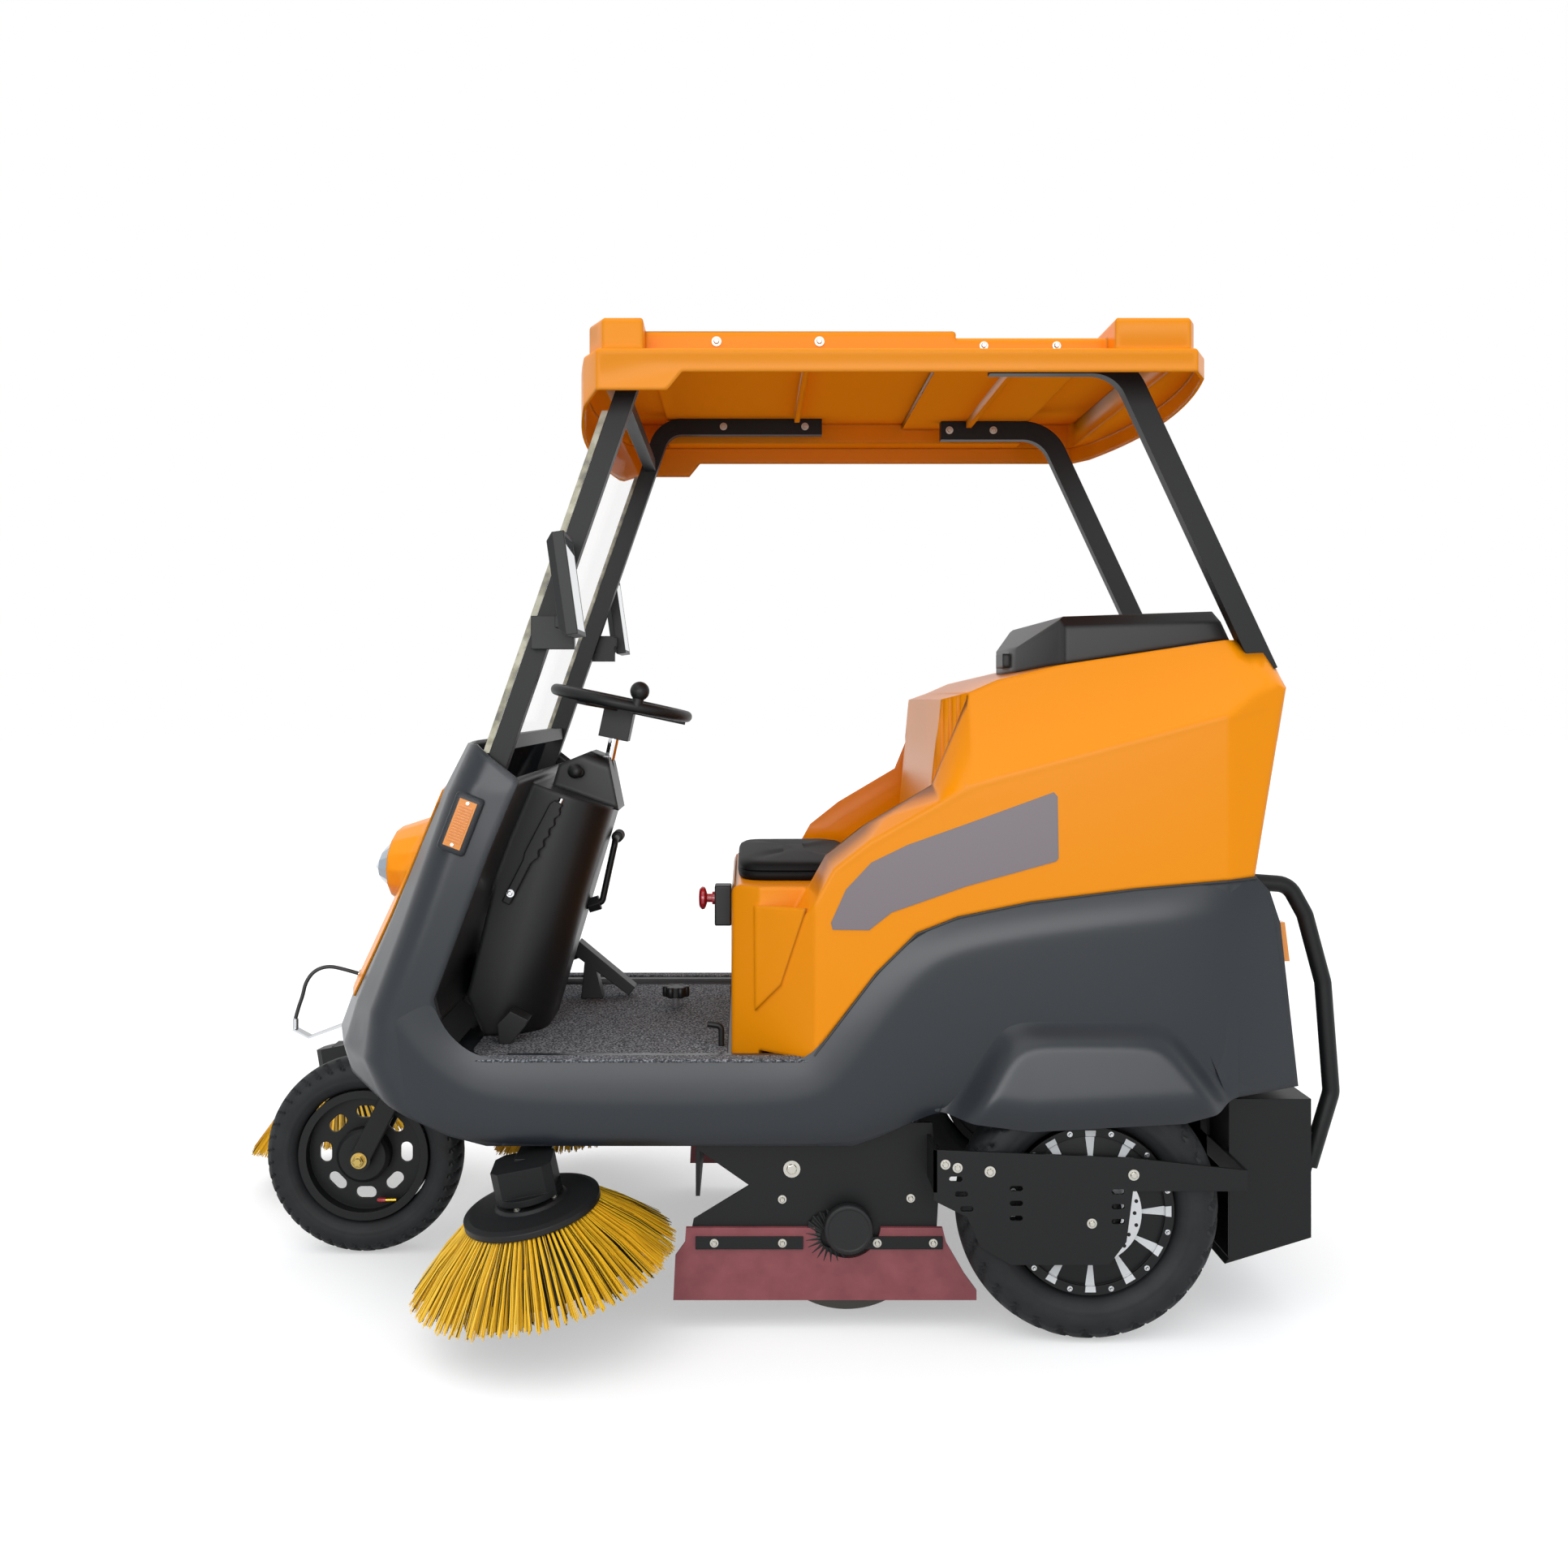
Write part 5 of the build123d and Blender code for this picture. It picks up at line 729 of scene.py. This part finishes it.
# Columns: radius, height
ROLLER_CAP = [(46.5, -13), (46.5, -2), (44, 1.5), (39, 2), (38, 1), (0, 1)]
ROLLER_CAP_SIDES = 48
for side, sign in SIDES:
    bm = bmesh.new()
    place = facing((BOOT_PLACE[0], sign * BOOT_PLACE[1], BOOT_PLACE[2]), (0, sign, 0))
    outer, inner = [], []
    for loop, edge in zip((outer, inner), BOOT_EDGES):
        for i in range(2 * PLEATS):
            radius, height = edge[i % 2]
            loop.append(bm.verts.new(place @ polar(radius, math.pi * i / PLEATS, height)))
    for i in range(2 * PLEATS):
        bm.faces.new((outer[i - 1], outer[i], inner[i], inner[i - 1]))
    piece(f"dust_boot_{side}", bm, black_plastic, "chassis", smooth=20)
    bm = bmesh.new()
    cap = facing((CAP_PLACE[0], sign * CAP_PLACE[1], CAP_PLACE[2]), (0, sign, 0))
    turned(bm, ROLLER_CAP, cap, ROLLER_CAP_SIDES)
    piece(f"roller_cap_{side}", bm, black_plastic, "roller")

# Plates on the hood's flanks
# Columns: x, z
PLATE = [(-190, 757), (-258, 756), (-300, 789), (-440, 838), (-606, 884), (-611, 890), (-609, 1005), (-602, 1013),
         (-440, 954), (-330, 915), (-262, 882), (-215, 832), (-187, 770)]
PLATE_INSIDE = 429.8
PLATE_THICKNESS = 1.2
bm = bmesh.new()
for _, sign in SIDES:
    slab(bm, [(x, sign * PLATE_INSIDE, z) for x, z in PLATE], (0, sign * PLATE_THICKNESS, 0))
piece("flank_plates", bm, plate_blank, "chassis")

# Indicators: raised bezel, ribs across the lens and a screw at each end
# Columns: distance along and up the lens, which leans with the cowl
BEZEL = [(-27, -53), (-23, -57), (23, -57), (27, -53), (27, 53), (23, 57), (-23, 57), (-27, 53)]
BEZEL_INSIDE = -5
BEZEL_DEPTH = 8
INDICATOR_PLACE = (503, 431.5, 954)
INDICATOR_LEAN = math.radians(-21)
LENS_RIBS = 13
LENS_RIB = [(-13, -1.3), (13, -1.3), (13, 1.3), (-13, 1.3)]
LENS_RIB_LOWEST = -33
LENS_RIB_PITCH = 5.5
LENS_FACE = 5
LENS_RIB_DEPTH = 1.8
LENS_SCREW = [(3.5, 0), (3.5, 1.4), (0, 1.6)]
LENS_SCREW_SEAT = 5.2
LENS_SCREW_SIDES = 12
LENS_SCREW_HEIGHTS = (-41, 41)
bm_bezel = bmesh.new()
bm_ribs = bmesh.new()
bm_screws = bmesh.new()
for _, sign in SIDES:
    place = Vector((INDICATOR_PLACE[0], sign * INDICATOR_PLACE[1], INDICATOR_PLACE[2])) * MM
    lean = Matrix.Translation(place) @ Matrix.Rotation(INDICATOR_LEAN, 4, "Y")
    corners = [lean @ (Vector((a, BEZEL_INSIDE * sign, b)) * MM) / MM for a, b in BEZEL]
    slab(bm_bezel, corners, (0, sign * BEZEL_DEPTH, 0))
    for i in range(LENS_RIBS):
        height = LENS_RIB_LOWEST + LENS_RIB_PITCH * i
        corners = [lean @ (Vector((a, LENS_FACE * sign, height + b)) * MM) / MM for a, b in LENS_RIB]
        slab(bm_ribs, corners, (0, sign * LENS_RIB_DEPTH, 0))
    for height in LENS_SCREW_HEIGHTS:
        spot = lean @ (Vector((0, LENS_SCREW_SEAT * sign, height)) * MM) / MM
        turned(bm_screws, LENS_SCREW, facing(spot, (0, sign, 0)), LENS_SCREW_SIDES)
piece("indicator_bezels", bm_bezel, slate, "chassis", bevel_mm=3)
piece("indicator_ribs", bm_ribs, amber, "chassis")
piece("indicator_screws", bm_screws, zinc, "chassis")

# Windscreen's ground edges
# Columns: x, z
SCREEN_EDGE = [(455, 1085), (467, 1085), (243, 1730), (231, 1730)]
SCREEN_EDGE_INSIDE = 397
SCREEN_EDGE_DEPTH = 2.5
bm = bmesh.new()
for _, sign in SIDES:
    slab(bm, [(x, sign * SCREEN_EDGE_INSIDE, z) for x, z in SCREEN_EDGE], (0, sign * SCREEN_EDGE_DEPTH, 0))
piece("windscreen_edges", bm, glass_edge, "chassis")

# Emergency stop: black base, red mushroom
STOP_BASE = [(0.2, 192, 734), (34, 192, 734), (34, 238, 734), (0.2, 238, 734)]
STOP_BASE_HEIGHT = 80
# Columns: radius, height
STOP_MUSHROOM = [(13, 0), (13, 5), (8.5, 6), (8.5, 15), (18, 18), (22.5, 21), (23, 26), (18, 31), (0, 32.5)]
STOP_SIDES = 32
STOP_FACE = (34, 215, 787)
bm = bmesh.new()
slab(bm, STOP_BASE, (0, 0, STOP_BASE_HEIGHT))
base = piece("stop_base", bm, black_plastic, "chassis", bevel_mm=3)
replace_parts(base, "stop_button")
bm = bmesh.new()
turned(bm, STOP_MUSHROOM, facing(STOP_FACE, (1, 0, 0)), STOP_SIDES)
piece("stop_mushroom", bm, red_plastic, "chassis", smooth=50)

# Cabin fittings: chromed steering shaft, light switch, lever button, star of the floor knob
STEERING_RAKE = math.radians(12)
STEERING_MIDDLE = (240, 0, 1179)
SWITCH_PLACE = (322, 74, 1032)
SWITCH_DIRECTION = (0.2, 1, 0.15)
KNOB_PLACE = (127, -90, 527)
KNOB_FOOT = (127, -90, 501.5)
BUTTON_PLACE = (350, 193, 975)
BUTTON_DIRECTION = (-0.45, 0, 0.9)
CONSOLE_BOLT = (447, 206, 795)
CONSOLE_WASHER = 8
# Each profile's columns: radius, height
STEERING_SHAFT = [(11.5, -124), (11.5, -76)]
LIGHT_SWITCH = [(11, 0), (11, 12), (8, 14), (8, 24), (14, 27), (15.5, 33), (14, 41), (9, 45), (0, 46)]
CABIN_SIDES = 24
STAR_LOBES = 6
STAR_CIRCLE = 22
STAR_LOBE = [(0, -0.5), (6, -0.5), (8, 2), (8, 20), (6, 22.5), (0, 22.5)]
LEVER_BUTTON = [(5, 0), (5, 12), (0, 12.5)]
KNOB_STEM = [(8.6, 0), (8.6, 25)]
SMALL_SIDES = 14
bm = bmesh.new()
wheel_axis = Vector((-math.sin(STEERING_RAKE), 0, math.cos(STEERING_RAKE)))
turned(bm, STEERING_SHAFT, facing(STEERING_MIDDLE, wheel_axis), CABIN_SIDES)
piece("steering_shaft_chrome", bm, chrome, "steering_wheel")
bm = bmesh.new()
turned(bm, LIGHT_SWITCH, facing(SWITCH_PLACE, SWITCH_DIRECTION), CABIN_SIDES)
star = facing(KNOB_PLACE, (0, 0, 1))
for i in range(STAR_LOBES):
    lobe = star @ Matrix.Translation(polar(STAR_CIRCLE, 2 * math.pi * i / STAR_LOBES, 0))
    turned(bm, STAR_LOBE, lobe, SMALL_SIDES)
piece("cabin_knobs", bm, black_plastic, "chassis", smooth=50)
bm = bmesh.new()
turned(bm, LEVER_BUTTON, facing(BUTTON_PLACE, BUTTON_DIRECTION), SMALL_SIDES)
turned(bm, KNOB_STEM, facing(KNOB_FOOT, (0, 0, 1)), SMALL_SIDES)
bolt(bm, CONSOLE_BOLT, (0, 1, 0), CONSOLE_WASHER)
piece("cabin_bright_parts", bm, chrome, "chassis")

# Hand levers: handbrake with finger grooves, brush lift crank with its ribbed grip
LEVER_TOP = Vector((352, 181, 981))
LEVER_ALONG = Vector((0.454, 0, -0.891))
LEVER_ACROSS = Vector((-0.891, 0, -0.454))
LEVER_THICKNESS = 24
GROOVE_PITCH = 24
GROOVE_DEPTH = 3
# Columns: distance down the lever, distance across it
LEVER_FRONT = [(232, -9), (138, -9), (122, -13), (12, -12), (2, -7)]
LEVER_GRIP = [(s, 14 + GROOVE_DEPTH * math.cos(2 * math.pi * s / GROOVE_PITCH)) for s in range(6, 127, 4)]
LEVER_BACK = [(2, 8)] + LEVER_GRIP + [(138, 9), (232, 9)]
bm = bmesh.new()
outline = [LEVER_TOP + LEVER_ALONG * s + LEVER_ACROSS * a for s, a in LEVER_FRONT + LEVER_BACK]
slab(bm, outline, (0, LEVER_THICKNESS, 0))
handbrake = piece("handbrake_grooved", bm, black_plastic, "chassis", smooth=40, bevel_mm=4)
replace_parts(handbrake, "hand_levers")
CRANK = [(330, 0, 736), (290, 0, 748), (282, 0, 750), (279, 0, 764), (258, 0, 862), (255, 0, 874), (255, -10, 884),
         (255, -70, 884)]
CRANK_DIAMETER = 14
GRIP_PLACE = (255, -55, 884)
CRANK_NUT_PLACE = (312, 0, 741)
CRANK_NUT_DIRECTION = (-0.96, 0, 0.28)
# Columns: radius, height
GRIP_RIBS = [(12.8 - 1.6 * (i % 2), 6 + 4 * i) for i in range(13)]
CRANK_GRIP = [(0, 0), (10, 0), (12.8, 3)] + GRIP_RIBS + [(9, 60), (0, 60)]
CRANK_NUT = [(0, 0), (17, 0), (17, 26), (0, 26)]
tube("lift_crank", CRANK, CRANK_DIAMETER, black_steel, "chassis")
bm = bmesh.new()
turned(bm, CRANK_GRIP, facing(GRIP_PLACE, (0, -1, 0)), CABIN_SIDES)
turned(bm, CRANK_NUT, facing(CRANK_NUT_PLACE, CRANK_NUT_DIRECTION), HEXAGON)
piece("lift_crank_grip", bm, black_plastic, "chassis")

# Seat cushion: a stuffed pad, its skin crowned and drawn in along one seam
# Columns: height over the seat, share of the full outline
CUSHION_LEVELS = [(0.4, 0.97), (3, 0.995), (10, 1.005), (17, 1.0), (19, 0.984), (21, 1.0), (28, 0.995), (33, 0.975),
                  (36.5, 0.93), (38.5, 0.84), (39.5, 0.68), (40, 0.45), (40.2, 0.2)]
CUSHION_POINTS = 120
CUSHION_MIDDLE = -131.5
CUSHION_HALF = (119, 256)
# Power that squares the outline's corners
CUSHION_POWER = 0.32
SEAT_HEIGHT = 826
SAG = 6.0
SAG_WAVES = 3
bm = bmesh.new()
rings = []
for height, share in CUSHION_LEVELS:
    ring = []
    for i in range(CUSHION_POINTS):
        angle = 2 * math.pi * i / CUSHION_POINTS
        a, b = (math.copysign(abs(f(angle)) ** CUSHION_POWER, f(angle)) for f in (math.cos, math.sin))
        sag = SAG * math.sin(SAG_WAVES * angle + height) * (1 - share)
        x = CUSHION_MIDDLE + CUSHION_HALF[0] * share * a
        y = CUSHION_HALF[1] * share * b
        ring.append(bm.verts.new(Vector((x, y, SEAT_HEIGHT + height + sag)) * MM))
    rings.append(ring)
for a, b in zip(rings, rings[1:]):
    for i in range(CUSHION_POINTS):
        bm.faces.new((a[i - 1], a[i], b[i], b[i - 1]))
bm.faces.new(rings[0])
bm.faces.new(rings[-1])
cushion = piece("seat_cushion_padded", bm, vinyl, "chassis", smooth=60)
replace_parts(cushion, "seat_cushion")

# Spray hose, from the gland on the front panel to its nozzle
HOSE = [(798, 40, 602), (830, 45, 613), (861, 50, 620), (888, 56, 611), (905, 60, 587), (911, 60, 558), (920, 60, 534),
        (926, 60, 511)]
HOSE_DIAMETER = 8
hose = tube("spray_hose_cord", HOSE, HOSE_DIAMETER, hose_rubber, "chassis")
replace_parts(hose, "spray_hose")


def seen_rays(tree):
    """Node that is 1 for what the camera sees straight, in a reflection or through glass."""
    rays = add(tree, "ShaderNodeLightPath")
    through = add(tree, "ShaderNodeMath", links={0: (rays, "Is Glossy Ray"), 1: (rays, "Is Transmission Ray")},
                  operation="MAXIMUM")
    return add(tree, "ShaderNodeMath", links={0: (rays, "Is Camera Ray"), 1: (through, "Value")}, operation="MAXIMUM")


# White floor that takes the soft shadow, in metres from its middle to a side
FLOOR_HALF = 40
FLOOR_LIFT = 0.42
scene = bpy.context.scene
bm = bmesh.new()
bmesh.ops.create_grid(bm, x_segments=1, y_segments=1, size=FLOOR_HALF)
floor_mesh = bpy.data.meshes.new("floor")
bm.to_mesh(floor_mesh)
bm.free()
floor = bpy.data.objects.new("floor", floor_mesh)
scene.collection.objects.link(floor)
# Whitened concrete: white to the eye with a pale shadow, and a plain grey in the light that it throws back
concrete = bpy.data.materials.new("concrete_whitened")
concrete.use_nodes = True
tree = concrete.node_tree
tree.nodes.clear()
pale = add(tree, "ShaderNodeBsdfDiffuse", {"Color": colour("#CFCFCF")})
lift = add(tree, "ShaderNodeEmission", {"Color": colour("#FFFFFF"), "Strength": FLOOR_LIFT})
white = add(tree, "ShaderNodeAddShader", links={0: (pale, "BSDF"), 1: (lift, "Emission")})
grey = add(tree, "ShaderNodeBsdfDiffuse", {"Color": colour("#B4B4B4")})
either = add(tree, "ShaderNodeMixShader",
             links={"Fac": (seen_rays(tree), "Value"), 1: (grey, "BSDF"), 2: (white, "Shader")})
add(tree, "ShaderNodeOutputMaterial", links={"Surface": (either, "Shader")})
floor.data.materials.append(concrete)

# Studio: white where it is seen, and a bright ceiling over dimmer walls as light
# Columns: share of the way from straight down to straight up, colour
STUDIO_STOPS = [(0.0, "#606060"), (0.52, "#909296"), (0.64, "#EDF2F8"), (1.0, "#FFFFFF")]
STUDIO_STRENGTH = 1.15
world = bpy.data.worlds.new("studio")
scene.world = world
world.use_nodes = True
tree = world.node_tree
tree.nodes.clear()
coords = add(tree, "ShaderNodeTexCoord")
split = add(tree, "ShaderNodeSeparateXYZ", links={"Vector": (coords, "Generated")})
height = add(tree, "ShaderNodeMapRange", {"From Min": -1.0, "From Max": 1.0}, {"Value": (split, "Z")})
ramp = add(tree, "ShaderNodeValToRGB", links={"Fac": (height, "Result")}, stops=STUDIO_STOPS)
lit = add(tree, "ShaderNodeBackground", {"Strength": STUDIO_STRENGTH}, {"Color": (ramp, "Color")})
seen = add(tree, "ShaderNodeBackground", {"Color": colour("#FFFFFF"), "Strength": 1.0})
mix = add(tree, "ShaderNodeMixShader",
          links={"Fac": (seen_rays(tree), "Value"), 1: (lit, "Background"), 2: (seen, "Background")})
add(tree, "ShaderNodeOutputWorld", links={"Surface": (mix, "Shader")})

# Soft key from above, ahead of the machine and on the camera's side
KEY_STRENGTH = 0.85
KEY_SPREAD = math.radians(55)
KEY_DIRECTION = Vector((-0.25, -0.55, -1.0))
key = bpy.data.objects.new("key", bpy.data.lights.new("key", "SUN"))
key.data.energy = KEY_STRENGTH
key.data.angle = KEY_SPREAD
key.rotation_euler = KEY_DIRECTION.to_track_quat("-Z", "Y").to_euler()
scene.collection.objects.link(key)

# Wide windows behind the camera, in metres: one lights the flank, one only draws the sheen on faces that lean back
# Columns: name, power in watts, height of the middle, whether it shows in reflections instead of lighting
WINDOWS = [("window", 65, 2.3, False), ("sheen_window", 330, 2.0, True)]
WINDOW_WIDTH = 7
WINDOW_HEIGHT = 2.2
WINDOW_PLACE = (0.5, 6.5)
WINDOW_AIM = Vector((0, 0, 0.8))
for name, power, middle, mirrored in WINDOWS:
    window = bpy.data.objects.new(name, bpy.data.lights.new(name, "AREA"))
    window.data.shape = "RECTANGLE"
    window.data.size = WINDOW_WIDTH
    window.data.size_y = WINDOW_HEIGHT
    window.data.energy = power
    window.location = (*WINDOW_PLACE, middle)
    window.rotation_euler = (WINDOW_AIM - window.location).to_track_quat("-Z", "Y").to_euler()
    window.visible_glossy = mirrored
    window.visible_diffuse = not mirrored
    scene.collection.objects.link(window)

# Camera level and square to the machine's side; focal length and shift are in pixels of a frame this wide
FRAME_PX = 1932
FOCAL_PX = 1773
SHIFT_PX = (46, -101)
SENSOR_WIDTH = 36
CAMERA_PLACE = (-0.030, 3.110, 1.181)
camera = bpy.data.objects.new("camera", bpy.data.cameras.new("camera"))
camera.location = CAMERA_PLACE
camera.rotation_euler = (math.radians(90), 0, math.radians(180))
camera.data.sensor_width = SENSOR_WIDTH
camera.data.lens = FOCAL_PX / FRAME_PX * SENSOR_WIDTH
camera.data.shift_x = SHIFT_PX[0] / FRAME_PX
camera.data.shift_y = SHIFT_PX[1] / FRAME_PX
scene.collection.objects.link(camera)
scene.camera = camera
scene.view_settings.view_transform = "Standard"
